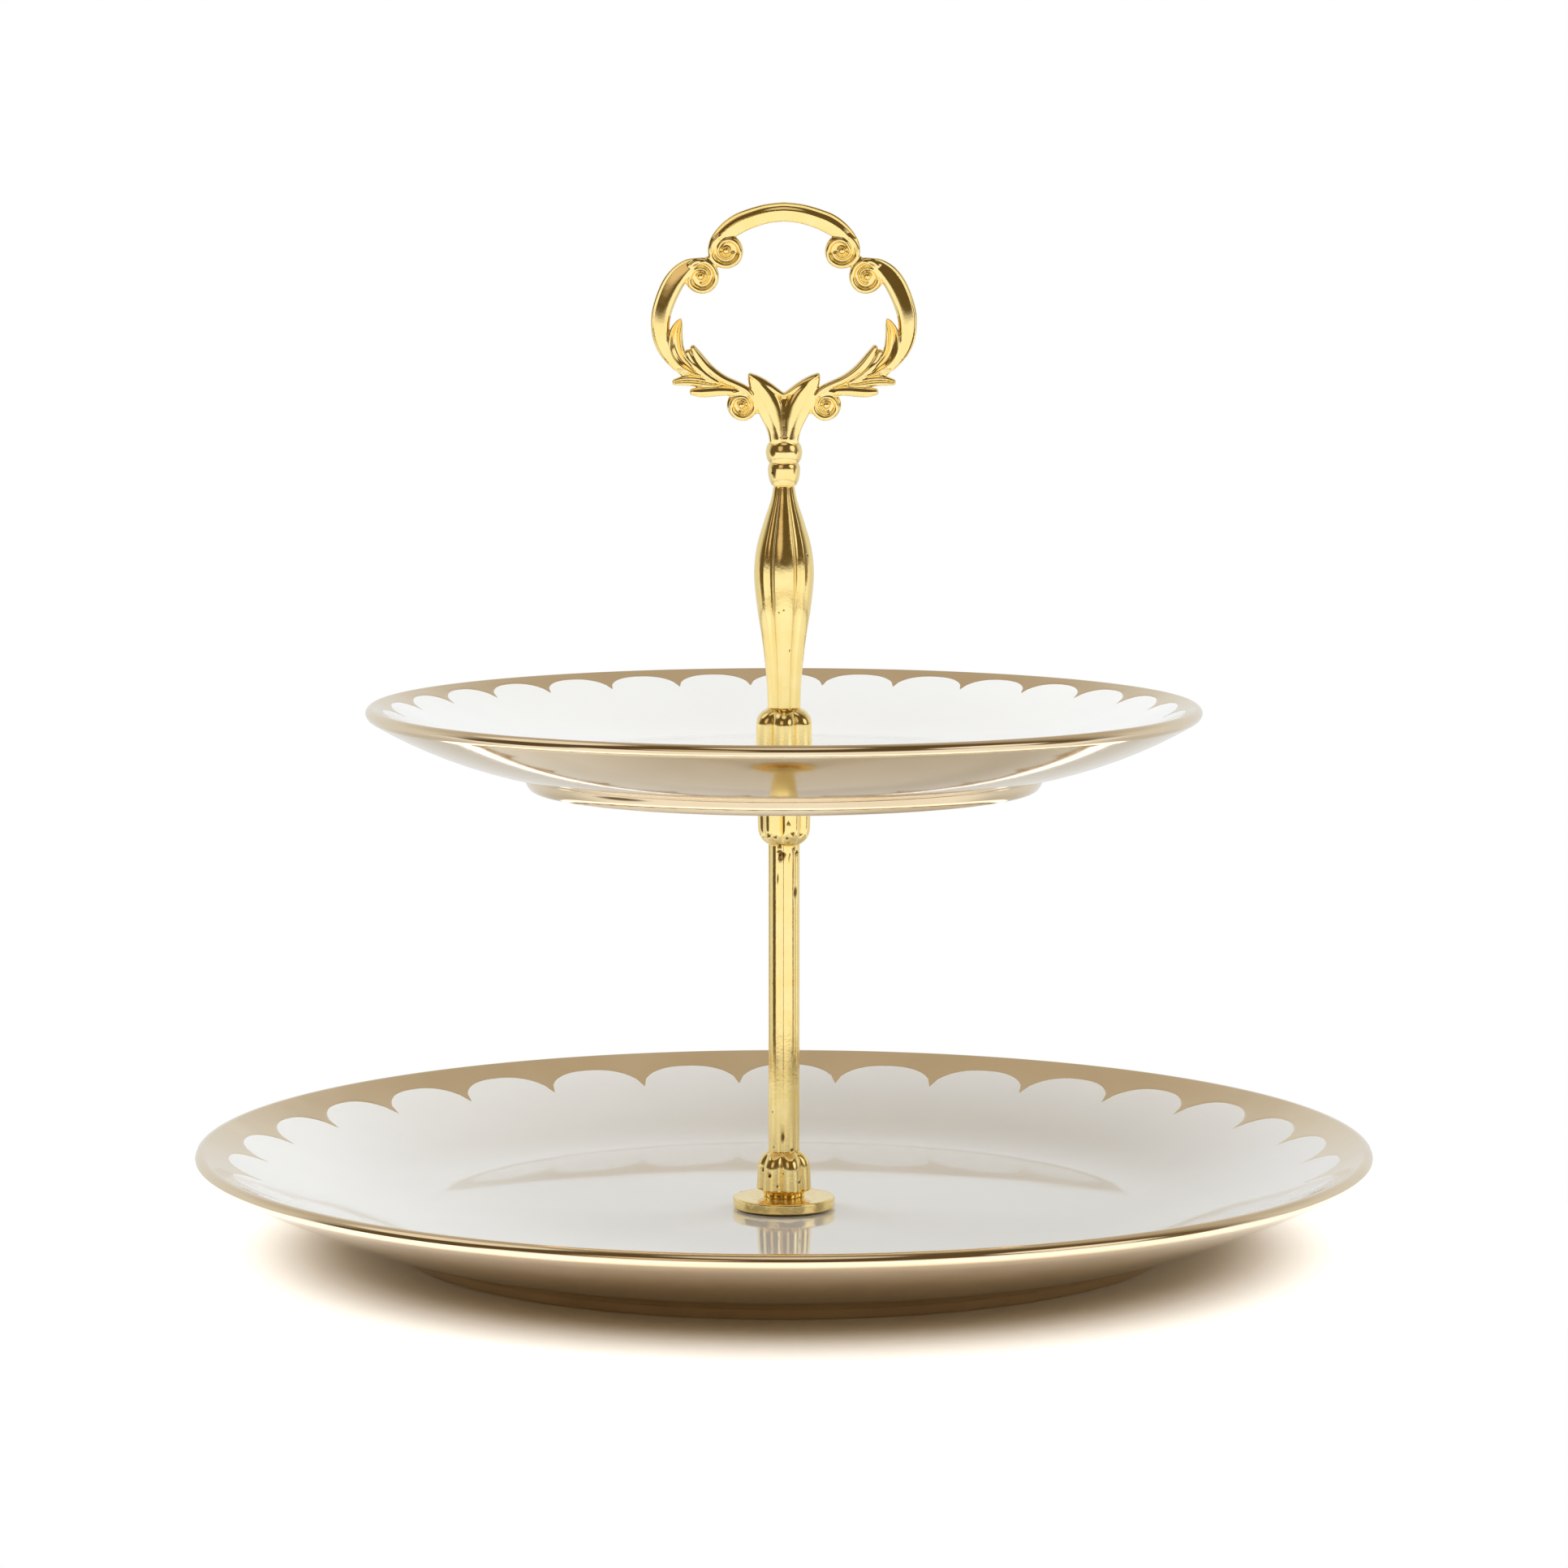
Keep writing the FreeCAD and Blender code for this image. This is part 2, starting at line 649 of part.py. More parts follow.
handle = new_body("handle")
reeded_length(handle, "foot_spigot", "handle_low_z", "handle_foot_z", SPIGOT, SPIGOT, HANDLE_TURN)
reeded_length(handle, "foot", "handle_foot_z", "handle_foot_top_z", FOOT, FOOT_SMALL, HANDLE_TURN)
revolve(handle, "foot_dome", [
    corner("foot_dome_low_r", "foot_dome_z", "foot_dome_arc", True),
    corner("foot_dome_top_r", "handle_foot_top_z"),
    corner("dome_clear_r", "handle_foot_top_z"),
    corner("dome_clear_r", "foot_dome_z"),
], groove=True)

grip_sections = []
for index in range(len(GRIP)):
    grip_sketch = new_sketch(handle, f"grip_{index}", "XY_Plane", f"grip_{index}_z", GRIP_TURN)
    draw_fluted(grip_sketch, f"grip_{index}_r")
    grip_sections.append(grip_sketch)
loft(handle, "grip", grip_sections, False)

revolve(handle, "beads", [
    corner(None, "bead_low_z"),
    corner("neck_r", "bead_low_z", "bead_low_arc", True),
    corner("bead_low_r", "bead_low_mid_z", "bead_mid_arc", True),
    corner("bead_gap_r", "bead_gap_z", "bead_high_arc", True),
    corner("bead_high_r", "bead_high_mid_z", "bead_mid_arc", True),
    corner("bead_high_end_r", "bead_high_z"),
    corner("neck_ring_r", "neck_ring_z"),
    corner("calyx_r", "calyx_z"),
    corner(None, "calyx_z"),
])

crown_sketch = new_sketch(handle, "crown_outline", "XZ_Plane")
crown_outer = mirrored_loop("crown_edge", CROWN_OUTER, [], "crown_top_z")
crown_outer.append(corner("crown_edge_0_x", "crown_edge_0_z", None, True, -1))
draw_outline(crown_sketch, crown_outer)
opening_sketch = new_sketch(handle, "opening_outline", "XZ_Plane")
opening_first = [corner(None, "opening_top_z", "opening_top_arc", False)]
opening = mirrored_loop("opening", CROWN_INNER, opening_first, "crown_notch_z")
opening.append(corner("opening_0_x", "opening_0_z", "opening_top_arc", False, -1))
draw_outline(opening_sketch, opening)
flat_pad(handle, "crown", crown_sketch, "crown_thick")
opening_cut = handle.newObject("PartDesign::Pocket", "crown_opening")
opening_cut.Profile = opening_sketch
opening_cut.SideType = "Symmetric"
opening_cut.setExpression("Length", "sizes.crown_thick + 2")


# Raised leaves that spring from the neck.
leaf_sketch = new_sketch(handle, "leaf_outline", "XZ_Plane")
leaf_right = [
    corner("crown_edge_0_x", "crown_edge_0_z"),
    corner("crown_edge_1_x", "crown_edge_1_z"),
    corner("leaf_side_x", "leaf_side_z"),
    corner("opening_12_x", "opening_12_z"),
    corner("opening_13_x", "opening_13_z", "opening_13_arc", True),
]
leaf_left = []
for x_alias, z_alias, _, _, _ in reversed(leaf_right):
    leaf_left.append(corner(x_alias, z_alias, None, True, -1))
leaf_middle = corner(None, "crown_notch_z", "opening_13_arc", True)
draw_outline(leaf_sketch, leaf_right + [leaf_middle] + leaf_left)
flat_pad(handle, "leaves", leaf_sketch, "leaf_thick")

# Each scroll is a coil of two raised rings about a round eye.
ring_sketch = new_sketch(handle, "scroll_rings", "XZ_Plane")
eye_sketch = new_sketch(handle, "scroll_eyes", "XZ_Plane")
for scroll, _, _, scroll_r in SCROLLS:
    for x_sign in (1, -1):
        band = SIZES["scroll_band"]
        eye_ring_r = SIZES["scroll_eye_r"] + SIZES["scroll_eye_band"] + SIZES["scroll_gap"]
        outer_text = f"sizes.{scroll}_scroll_r"
        eye_text = "sizes.scroll_eye_r + sizes.scroll_eye_band + sizes.scroll_gap"
        scroll_circle(ring_sketch, scroll, x_sign, scroll_r, outer_text)
        scroll_circle(ring_sketch, scroll, x_sign, scroll_r - band, f"{outer_text} - sizes.scroll_band")
        scroll_circle(ring_sketch, scroll, x_sign, eye_ring_r, eye_text)
        scroll_circle(
            ring_sketch, scroll, x_sign, eye_ring_r - SIZES["scroll_eye_band"],
            "sizes.scroll_eye_r + sizes.scroll_gap",
        )
        scroll_circle(eye_sketch, scroll, x_sign, SIZES["scroll_eye_r"], "sizes.scroll_eye_r")
flat_pad(handle, "scroll_coils", ring_sketch, "scroll_thick")
eyes = flat_pad(handle, "scroll_beads", eye_sketch, "scroll_bead_thick")


def on_a_bead(edge):
    """True for the rim of one of the round eyes."""
    if not isinstance(edge.Curve, Part.Circle):
        return False
    face_y = SIZES["scroll_bead_thick"] / 2
    on_face = abs(abs(edge.BoundBox.YMin) - face_y) < 0.001 and edge.BoundBox.YLength < 0.001
    return on_face and abs(edge.Curve.Radius - SIZES["scroll_eye_r"]) < 0.001


round_sharp_edges(handle, eyes, "bead_rounding", "bead_rounding", on_a_bead)
drill(handle, "handle_thread", "threaded_hole_r", "handle_low_z", "handle_hole_end_z")

# ---------------------------------------------------------------------------------------------
# Check every object and write one file per piece
# ---------------------------------------------------------------------------------------------
PIECES = [
    "lower_plate",
    "upper_plate",
    "handle",
    "rod",
    "base_disc",
    "lower_screw",
    "lower_screw_washer",
    "lower_plate_gasket_under",
    "lower_plate_gasket_over",
    "upper_stud",
    "upper_plate_gasket_under",
    "upper_plate_gasket_over",
]

doc.recompute()
for item in doc.Objects:
    if "Invalid" in item.State or "Error" in item.State:
        raise RuntimeError(f"{item.Name}: {item.getStatusString()}")

os.makedirs("parts", exist_ok=True)
for piece in PIECES:
    item = doc.getObjectsByLabel(piece)[0]
    shape = item.Shape
    if shape.isNull() or not shape.isValid():
        raise RuntimeError(f"{piece}: the shape is empty or not valid")
    if len(shape.Solids) != 1 or shape.Volume <= 0:
        raise RuntimeError(f"{piece}: not one solid")
    shape.exportStep(f"parts/{piece}.step")
    box = shape.optimalBoundingBox()
    print(
        f"{piece:26s} {shape.Volume:10.1f} mm3  x {box.XMin:.2f}..{box.XMax:.2f}"
        f"  y {box.YMin:.2f}..{box.YMax:.2f}  z {box.ZMin:.2f}..{box.ZMax:.2f}"
    )
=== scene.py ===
"""Looks of the two-tier cake stand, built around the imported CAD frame.

Everything is worked out in millimetres in the stand's own frame and scaled to metres when a mesh is
made: Z runs up the column from the table, and the crown of the handle lies in the XZ plane.
"""

import math
import random

import bpy
import numpy as np
import openvdb as vdb
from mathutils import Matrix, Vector, noise


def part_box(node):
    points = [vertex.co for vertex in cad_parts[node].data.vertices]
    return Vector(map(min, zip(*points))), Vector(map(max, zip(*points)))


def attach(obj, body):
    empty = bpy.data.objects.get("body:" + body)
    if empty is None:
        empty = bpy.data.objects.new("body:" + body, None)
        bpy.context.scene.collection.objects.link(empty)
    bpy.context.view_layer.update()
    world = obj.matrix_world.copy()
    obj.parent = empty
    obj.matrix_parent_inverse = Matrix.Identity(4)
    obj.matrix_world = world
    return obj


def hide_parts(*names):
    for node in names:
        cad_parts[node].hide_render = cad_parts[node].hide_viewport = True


MM = 0.001
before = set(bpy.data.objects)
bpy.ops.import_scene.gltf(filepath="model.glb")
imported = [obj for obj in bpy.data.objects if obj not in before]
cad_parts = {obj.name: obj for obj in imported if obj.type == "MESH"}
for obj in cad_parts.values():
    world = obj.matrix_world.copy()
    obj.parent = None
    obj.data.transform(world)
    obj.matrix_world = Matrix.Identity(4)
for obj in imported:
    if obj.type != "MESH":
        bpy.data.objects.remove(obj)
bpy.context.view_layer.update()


def low_high(node):
    """The heights and the largest radius of a CAD node, in millimetres."""
    low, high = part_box(node)
    return low.z / MM, high.z / MM, max(high.x, high.y) / MM


# ---------------------------------------------------------------------------------------------
# Curves and meshes
# ---------------------------------------------------------------------------------------------
def smoothstep(value, low, high):
    t = np.clip((value - low) / (high - low), 0, 1)
    return t * t * (3 - 2 * t)


def spline(knots, per_span=12):
    """A smooth curve through the knots, which are rows of any number of values."""
    knots = np.array(knots, float)
    ends = np.vstack([2 * knots[0] - knots[1], knots, 2 * knots[-1] - knots[-2]])
    t = np.linspace(0, 1, per_span, endpoint=False)[:, None]
    rows = []
    for a, b, c, d in zip(ends, ends[1:], ends[2:], ends[3:]):
        rows.append(b + 0.5 * t * (c - a + t * (2 * a - 5 * b + 4 * c - d + t * (3 * (b - c) + d - a))))
    return np.vstack(rows + [knots[-1:]])


def outline(corners, step=0.12):
    """A closed outline as close points. A corner is (r, z, arc): the arc leads to the next corner,
    positive turning left and negative right, and 0 is a straight line."""
    points = []
    for (r, z, arc), (next_r, next_z, _) in zip(corners, corners[1:] + corners[:1]):
        start = np.array([r, z])
        chord = np.array([next_r, next_z]) - start
        length = np.hypot(*chord)
        count = max(2, round(length / step))
        t = np.linspace(0, 1, count, endpoint=False)[:, None]
        line = start + t * chord
        if arc:
            side = math.copysign(1, arc)
            normal = np.array([-chord[1], chord[0]]) / length * side
            drop = math.sqrt(arc * arc - length * length / 4)
            centre = start + chord / 2 + normal * drop
            half = math.asin(length / 2 / abs(arc))
            turn = side * (2 * t[:, 0] - 1) * half
            down = -normal
            line = centre + abs(arc) * (
                np.cos(turn)[:, None] * down + np.sin(turn)[:, None] * np.array([-down[1], down[0]])
            )
        points.append(line)
    return np.vstack(points)


def soften(points, reach, step=0.12):
    """Rounds every corner of a closed outline by a running average of that reach."""
    half = max(1, round(reach / step))
    window = np.hanning(2 * half + 3)[1:-1]
    window /= window.sum()
    padded = np.vstack([points[-half:], points, points[:half]])
    return np.column_stack([np.convolve(padded[:, k], window, "valid") for k in (0, 1)])


def thin_out(points, turn_deg=4.0, longest=4.0):
    """Keeps the points that the shape needs: fewer where it is straight."""
    kept = [0]
    heading = np.arctan2(*np.roll(np.diff(points, axis=0), 1, axis=1).T)
    turned = 0.0
    travelled = 0.0
    for index in range(1, len(points) - 1):
        change = heading[index] - heading[index - 1]
        turned += abs((change + math.pi) % (2 * math.pi) - math.pi)
        travelled += np.hypot(*(points[index] - points[index - 1]))
        if turned > math.radians(turn_deg) or travelled > longest:
            kept.append(index)
            turned = 0.0
            travelled = 0.0
    return points[kept]


def add_mesh(name, points, faces, materials, face_slots=None, smooth_angle=None):
    """A mesh object from points in millimetres."""
    mesh = bpy.data.meshes.new(name)
    mesh.from_pydata((np.asarray(points, float) * MM).tolist(), [], faces)
    for material in materials:
        mesh.materials.append(material)
    mesh.polygons.foreach_set("use_smooth", [True] * len(mesh.polygons))
    if face_slots is not None:
        mesh.polygons.foreach_set("material_index", face_slots)
    if smooth_angle is not None:
        mesh.set_sharp_from_angle(angle=math.radians(smooth_angle))
    mesh.validate()
    thing = bpy.data.objects.new(name, mesh)
    bpy.context.scene.collection.objects.link(thing)
    return thing


def even_out(points, edges, weights):
    """Moves each point by each weight in turn towards the mean of its neighbours."""
    degree = np.maximum(np.bincount(edges.ravel(), minlength=len(points)), 1)[:, None]
    for weight in weights:
        total = np.zeros_like(points)
        for axis in range(3):
            total[:, axis] = np.bincount(edges[:, 0], points[edges[:, 1], axis], len(points))
            total[:, axis] += np.bincount(edges[:, 1], points[edges[:, 0], axis], len(points))
        points = points + weight * (total / degree - points)
    return points


def mark_hollows(thing, rounds, depth):
    """Stores how far each point lies in a hollow: 1 where evening out would raise it by depth."""
    mesh = thing.data
    count = len(mesh.vertices)
    points, normals = np.empty(count * 3), np.empty(count * 3)
    mesh.vertices.foreach_get("co", points)
    mesh.vertex_normals.foreach_get("vector", normals)
    edges = np.empty(len(mesh.edges) * 2, int)
    mesh.edges.foreach_get("vertices", edges)
    points, normals, edges = points.reshape(-1, 3) / MM, normals.reshape(-1, 3), edges.reshape(-1, 2)
    lift = ((even_out(points, edges, [0.5] * rounds) - points) * normals).sum(1)
    mesh.attributes.new("hollow", "FLOAT", "POINT").data.foreach_set("value", np.clip(lift / depth, 0, 1))


def ring_faces(rings, around, closed):
    """Quads between rings of points that run round the axis."""
    faces = []
    for ring in range(rings if closed else rings - 1):
        here = ring * around
        there = (ring + 1) % rings * around
        for k in range(around):
            n = (k + 1) % around
            faces.append((here + k, here + n, there + n, there + k))
    return faces


def add_rings(name, rings, materials, closed, ring_slots=None, smooth_angle=None):
    """A surface through rings, an array of (ring, point, xyz), with its first and last ring joined
    where it is closed and capped where it isn't."""
    count, around = rings.shape[:2]
    faces = ring_faces(count, around, closed)
    points = rings.reshape(-1, 3)
    slots = None
    if ring_slots is not None:
        slots = np.repeat(ring_slots, around).tolist()
    if not closed:
        centres = np.array([rings[0].mean(0), rings[-1].mean(0)])
        first, last = len(points), len(points) + 1
        points = np.vstack([points, centres])
        top = (count - 1) * around
        for k in range(around):
            n = (k + 1) % around
            faces.append((first, n, k))
            faces.append((last, top + k, top + n))
        if slots is not None:
            slots += [0] * (2 * around)
    return add_mesh(name, points, faces, materials, slots, smooth_angle)


def lathe(name, corners, around, materials, reach=0.12, longest=6.0, smooth_angle=None):
    """A closed outline (r, z) turned about the Z axis."""
    step = 0.05
    profile = thin_out(soften(outline(corners, step), reach, step), 8.0, longest)
    angle = np.linspace(0, 2 * math.pi, around, endpoint=False)
    r = profile[:, 0:1]
    rings = np.stack([r * np.cos(angle), r * np.sin(angle), np.repeat(profile[:, 1:2], around, 1)], 2)
    return add_rings(name, rings, materials, True, None, smooth_angle)


# ---------------------------------------------------------------------------------------------
# Materials
# ---------------------------------------------------------------------------------------------
class Paint:
    """A procedural material and short ways to join its nodes."""

    def __init__(self, name, **sockets):
        self.material = bpy.data.materials.new(name)
        self.material.use_nodes = True
        self.tree = self.material.node_tree
        self.shader = self.tree.nodes["Principled BSDF"]
        for socket, value in sockets.items():
            self.shader.inputs[socket.replace("_", " ")].default_value = value
        self.place = self.tree.nodes.new("ShaderNodeTexCoord").outputs["Object"]

    def node(self, kind, **values):
        made = self.tree.nodes.new(f"ShaderNode{kind}")
        for name, value in values.items():
            setattr(made, name, value)
        return made

    def link(self, source, target):
        self.tree.links.new(source, target)

    def noise(self, scale, detail=3.0, stretch=(1, 1, 1)):
        """Noise with that many cells a metre."""
        mapping = self.node("Mapping")
        mapping.inputs["Scale"].default_value = stretch
        self.link(self.place, mapping.inputs["Vector"])
        made = self.node("TexNoise")
        made.inputs["Scale"].default_value = scale
        made.inputs["Detail"].default_value = detail
        self.link(mapping.outputs["Vector"], made.inputs["Vector"])
        return made.outputs["Fac"]

    def ramp(self, source, *stops):
        """Stops are (position, value or colour)."""
        made = self.node("ValToRGB")
        elements = made.color_ramp.elements
        while len(elements) < len(stops):
            elements.new(0.5)
        for element, (position, colour) in zip(elements, stops):
            element.position = position
            if not isinstance(colour, tuple):
                colour = (colour,) * 3
            element.color = (*colour, 1)
        self.link(source, made.inputs["Fac"])
        return made.outputs["Color"]

    def mix(self, share, first, second):
        made = self.node("Mix", data_type="RGBA")
        self.link(share, made.inputs["Factor"])
        for socket, source in ((made.inputs[6], first), (made.inputs[7], second)):
            if isinstance(source, tuple):
                socket.default_value = (*source, 1)
            else:
                self.link(source, socket)
        return made.outputs[2]

    def times(self, first, second):
        made = self.node("Math", operation="MULTIPLY")
        self.link(first, made.inputs[0])
        self.link(second, made.inputs[1])
        return made.outputs[0]

    def pits(self, scale, size, share):
        """Small round pits: 1 in a pit, 0 outside it."""
        cells = self.node("TexVoronoi")
        cells.inputs["Scale"].default_value = scale
        self.link(self.place, cells.inputs["Vector"])
        inside = self.ramp(cells.outputs["Distance"], (size * 0.6, 1.0), (size, 0.0))
        chosen = self.ramp(cells.outputs["Color"], (1 - share, 0.0), (1 - share + 0.02, 1.0))
        return self.times(inside, chosen)

    def colour(self, source):
        self.link(source, self.shader.inputs["Base Color"])

    def roughness(self, source):
        self.link(source, self.shader.inputs["Roughness"])

    def bump(self, *layers):
        """Layers are (height source, strength, distance in millimetres)."""
        below = None
        for source, strength, distance in layers:
            made = self.node("Bump")
            made.inputs["Strength"].default_value = strength
            made.inputs["Distance"].default_value = distance * MM
            self.link(source, made.inputs["Height"])
            if below is not None:
                self.link(below, made.inputs["Normal"])
            below = made.outputs["Normal"]
        self.link(below, self.shader.inputs["Normal"])


def plated_gold(name, pit_share, grain, smooth, rough):
    """Polished yellow gold plating on a casting: a deeper orange painted into the hollows as painted shade,
    and a few pits, painted dark as painted shade.
    """
    paint = Paint(name, Metallic=1.0)
    cloud = paint.ramp(paint.noise(220), (0.35, (0.95, 0.74, 0.30)), (0.65, (0.97, 0.78, 0.36)))
    hollow = paint.node("Attribute", attribute_name="hollow").outputs["Fac"]
    # painted shade: the deeper the hollow, the more the colour turns to a deep orange
    painted_crease_shade = paint.ramp(hollow, (0.2, 0.0), (1.0, 0.55))
    # painted shade: the small pits are coloured near-black brown as well as dented
    pits = paint.pits(420, 0.17, pit_share)
    gold = paint.mix(pits, paint.mix(painted_crease_shade, cloud, (1.0, 0.62, 0.10)), (0.22, 0.12, 0.03))
    # painted shade: the pits cast into the mesh are coloured dark brown
    cast_pit = paint.node("Attribute", attribute_name="pit").outputs["Fac"]
    dark = paint.ramp(cast_pit, (0.05, 0.0), (0.5, 1.0))
    paint.colour(paint.mix(dark, gold, (0.20, 0.11, 0.04)))
    paint.roughness(paint.ramp(paint.noise(900, 4), (0.3, smooth), (0.7, rough)))
    paint.bump((paint.noise(1700, 2), grain, 0.03), (paint.noise(160, 2), 0.35, 0.12), (pits, -0.6, 0.15))
    return paint.material


def gold_lustre():
    """Fired gold lustre on glaze: paler than plating, mirror-like, with faint brush marks and specks."""
    paint = Paint("gold_lustre", Metallic=1.0, Coat_Weight=0.5, Coat_Roughness=0.04)
    cloud = paint.ramp(paint.noise(45, 4), (0.3, (0.75, 0.61, 0.41)), (0.7, (0.81, 0.67, 0.47)))
    specks = paint.pits(170, 0.10, 0.10)
    paint.colour(paint.mix(specks, cloud, (0.36, 0.24, 0.12)))
    paint.roughness(paint.ramp(paint.noise(500, 3, (1, 1, 6)), (0.3, 0.07), (0.7, 0.13)))
    paint.bump((paint.noise(28, 2), 0.5, 0.6), (paint.noise(140, 2), 0.25, 0.06))
    return paint.material


def porcelain_glaze():
    """Glossy white glaze, with the slight waviness of a fired surface."""
    paint = Paint("porcelain_glaze", Coat_Weight=0.6, Coat_Roughness=0.03)
    paint.colour(paint.ramp(paint.noise(35, 3), (0.3, (0.85, 0.86, 0.87)), (0.7, (0.87, 0.88, 0.89))))
    paint.roughness(paint.ramp(paint.noise(60, 3), (0.3, 0.05), (0.7, 0.09)))
    paint.bump((paint.noise(22, 2), 0.35, 0.5), (paint.noise(160, 2), 0.12, 0.05))
    return paint.material


def bare_porcelain():
    """The unglazed foot face and drilled hole."""
    paint = Paint("bare_porcelain", Roughness=0.65)
    paint.colour(paint.ramp(paint.noise(300, 5), (0.3, (0.70, 0.67, 0.61)), (0.7, (0.82, 0.80, 0.75))))
    paint.bump((paint.noise(2500, 3), 0.5, 0.03))
    return paint.material


def zinc_steel():
    paint = Paint("zinc_steel", Metallic=1.0)
    paint.colour(paint.ramp(paint.noise(260, 4), (0.3, (0.52, 0.53, 0.52)), (0.7, (0.66, 0.66, 0.63))))
    paint.roughness(paint.ramp(paint.noise(1400, 3, (1, 1, 8)), (0.3, 0.24), (0.7, 0.40)))
    paint.bump((paint.noise(1800, 3, (1, 1, 6)), 0.3, 0.02))
    return paint.material


def soft_rubber():
    paint = Paint("soft_rubber", Coat_Weight=0.1)
    paint.colour(paint.ramp(paint.noise(400, 4), (0.3, (0.76, 0.76, 0.73)), (0.7, (0.84, 0.84, 0.81))))
    paint.roughness(paint.ramp(paint.noise(700, 3), (0.3, 0.42), (0.7, 0.58)))
    paint.bump((paint.noise(3200, 3), 0.35, 0.03))
    return paint.material


CAST_GOLD = plated_gold("plated_gold", 0.12, 0.45, 0.10, 0.18)
CROWN_GOLD = plated_gold("polished_gold", 0.02, 0.10, 0.05, 0.10)
LUSTRE = gold_lustre()
GLAZE = porcelain_glaze()
BARE = bare_porcelain()
STEEL = zinc_steel()
RUBBER = soft_rubber()


# ---------------------------------------------------------------------------------------------
# Plates
# ---------------------------------------------------------------------------------------------
LOBES = 31
LOBE_DIVISIONS = 20
FIRST_CUSP_DEG = 83.8
# the gold stands this much above the white
LUSTRE_STEP = 0.05
HOLE_R = 3.1
WELL_ARC = 70.0
WALL_ARC = 160.0
LIP_ARC = 1.9
LIP_SHARE = 0.0157
LIP_RISE, LIP_DROP, LIP_TUCK = 1.4, 1.6, 1.0
FOOT_ARC = 4.0


def scallop(angle, cusp_r, peak_r):
    """The edge of the white: round lobes that meet in cusps."""
    across = (angle - math.radians(FIRST_CUSP_DEG)) * LOBES / (2 * math.pi) % 1 * 2 - 1
    return cusp_r + (peak_r - cusp_r) * (1 - np.abs(across) ** 2.4) ** 0.58


def add_plate(
    node, body, well, wall, rim_z, under_arc, root, foot_out, foot_in, foot_top, under, cusp_r, peak_r
):
    """A drilled plate with a scalloped gold rim and a gold back. Its outline's corners are given as
    (r, z) or as one of the two, with heights above its foot. The white ends between cusp_r, where
    its lobes meet, and peak_r."""
    base_z, _, rim_r = low_high(node)
    corners = [
        (HOLE_R, well[1], 0),
        (*well, WELL_ARC),
        (*wall, WALL_ARC),
        (rim_r * (1 - LIP_SHARE), rim_z + LIP_RISE, -LIP_ARC),
        (rim_r, rim_z, -LIP_ARC),
        (rim_r - LIP_TUCK, rim_z - LIP_DROP, -under_arc),
        (*root, -FOOT_ARC),
        (foot_out, 0, 0),
        (foot_in, 0, 0),
        (*foot_top, FOOT_ARC),
        (*under, 0),
        (HOLE_R, under[1], 0),
    ]
    fine = soften(outline(corners), 0.5)
    # from inner_r to outer_r the rings bend, so that the middle one follows the scallops
    middle_r = (cusp_r + peak_r) / 2
    inner_r = cusp_r - 0.08 * rim_r
    outer_r = corners[3][0] - 0.4
    top_end = int(np.argmax(fine[:, 0]))
    climb = fine[:top_end]
    climb = climb[climb[:, 0] > HOLE_R + 1.0]

    def height(radius):
        return np.interp(radius, climb[:, 0], climb[:, 1])

    profile = thin_out(fine)
    turn = int(np.argmax(profile[:, 0]))
    upper, lower = profile[:turn], profile[turn:]
    flat = upper[upper[:, 0] < inner_r - 0.5]
    lip = upper[upper[:, 0] > outer_r + 0.2]
    radii = np.concatenate([
        np.linspace(inner_r, middle_r, 9),
        middle_r + np.array([0.1, 0.25, 0.45]),
        np.linspace(middle_r + 0.8, outer_r, 9),
    ])
    angle = np.linspace(0, 2 * math.pi, LOBES * LOBE_DIVISIONS, endpoint=False)
    angle = angle + math.radians(FIRST_CUSP_DEG)
    edge = scallop(angle, cusp_r, peak_r)
    rings = []
    slots = []

    def add_ring(radius, z, slot):
        radius = radius + 0 * angle
        rings.append(np.stack([radius * np.cos(angle), radius * np.sin(angle), base_z + z + 0 * angle], 1))
        slots.append(slot)

    glaze_slot, lustre_slot, bare_slot = 0, 1, 2
    for r, z in flat:
        add_ring(r, z, bare_slot if r < HOLE_R + 0.05 else glaze_slot)
    for r in radii:
        if r <= middle_r:
            radius = inner_r + (r - inner_r) * (edge - inner_r) / (middle_r - inner_r)
        else:
            radius = outer_r - (outer_r - r) * (outer_r - edge) / (outer_r - middle_r)
        step = smoothstep(radius - edge, 0.0, 0.6) * (1 - smoothstep(radius, outer_r - 1.5, outer_r))
        add_ring(radius, height(radius) + LUSTRE_STEP * step, glaze_slot if r < middle_r else lustre_slot)
    for r, z in lip:
        add_ring(r, z, lustre_slot)
    for r, z in lower:
        foot_face = z < 0.12 and r < foot_out + 0.3
        add_ring(r, z, bare_slot if foot_face or r < HOLE_R + 0.05 else lustre_slot)
    plate = add_rings(f"{node}_china", np.array(rings), [GLAZE, LUSTRE, BARE], True, slots)
    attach(plate, body)
    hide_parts(node)


add_plate(
    "lower_plate", "lower_tier",
    well=(84.0, 7.4), wall=(104.0, 11.6), rim_z=21.4, under_arc=280.0,
    root=(89.2, 2.4), foot_out=88.2, foot_in=86.0, foot_top=(84.6, 3.0), under=(80.0, 4.2),
    cusp_r=118.1, peak_r=126.0,
)
add_plate(
    "upper_plate", "upper_tier",
    well=(58.0, 6.2), wall=(72.0, 9.5), rim_z=17.6, under_arc=105.0,
    root=(58.6, 3.1), foot_out=57.4, foot_in=55.4, foot_top=(54.2, 2.3), under=(50.0, 2.7),
    cusp_r=85.7, peak_r=90.4,
)


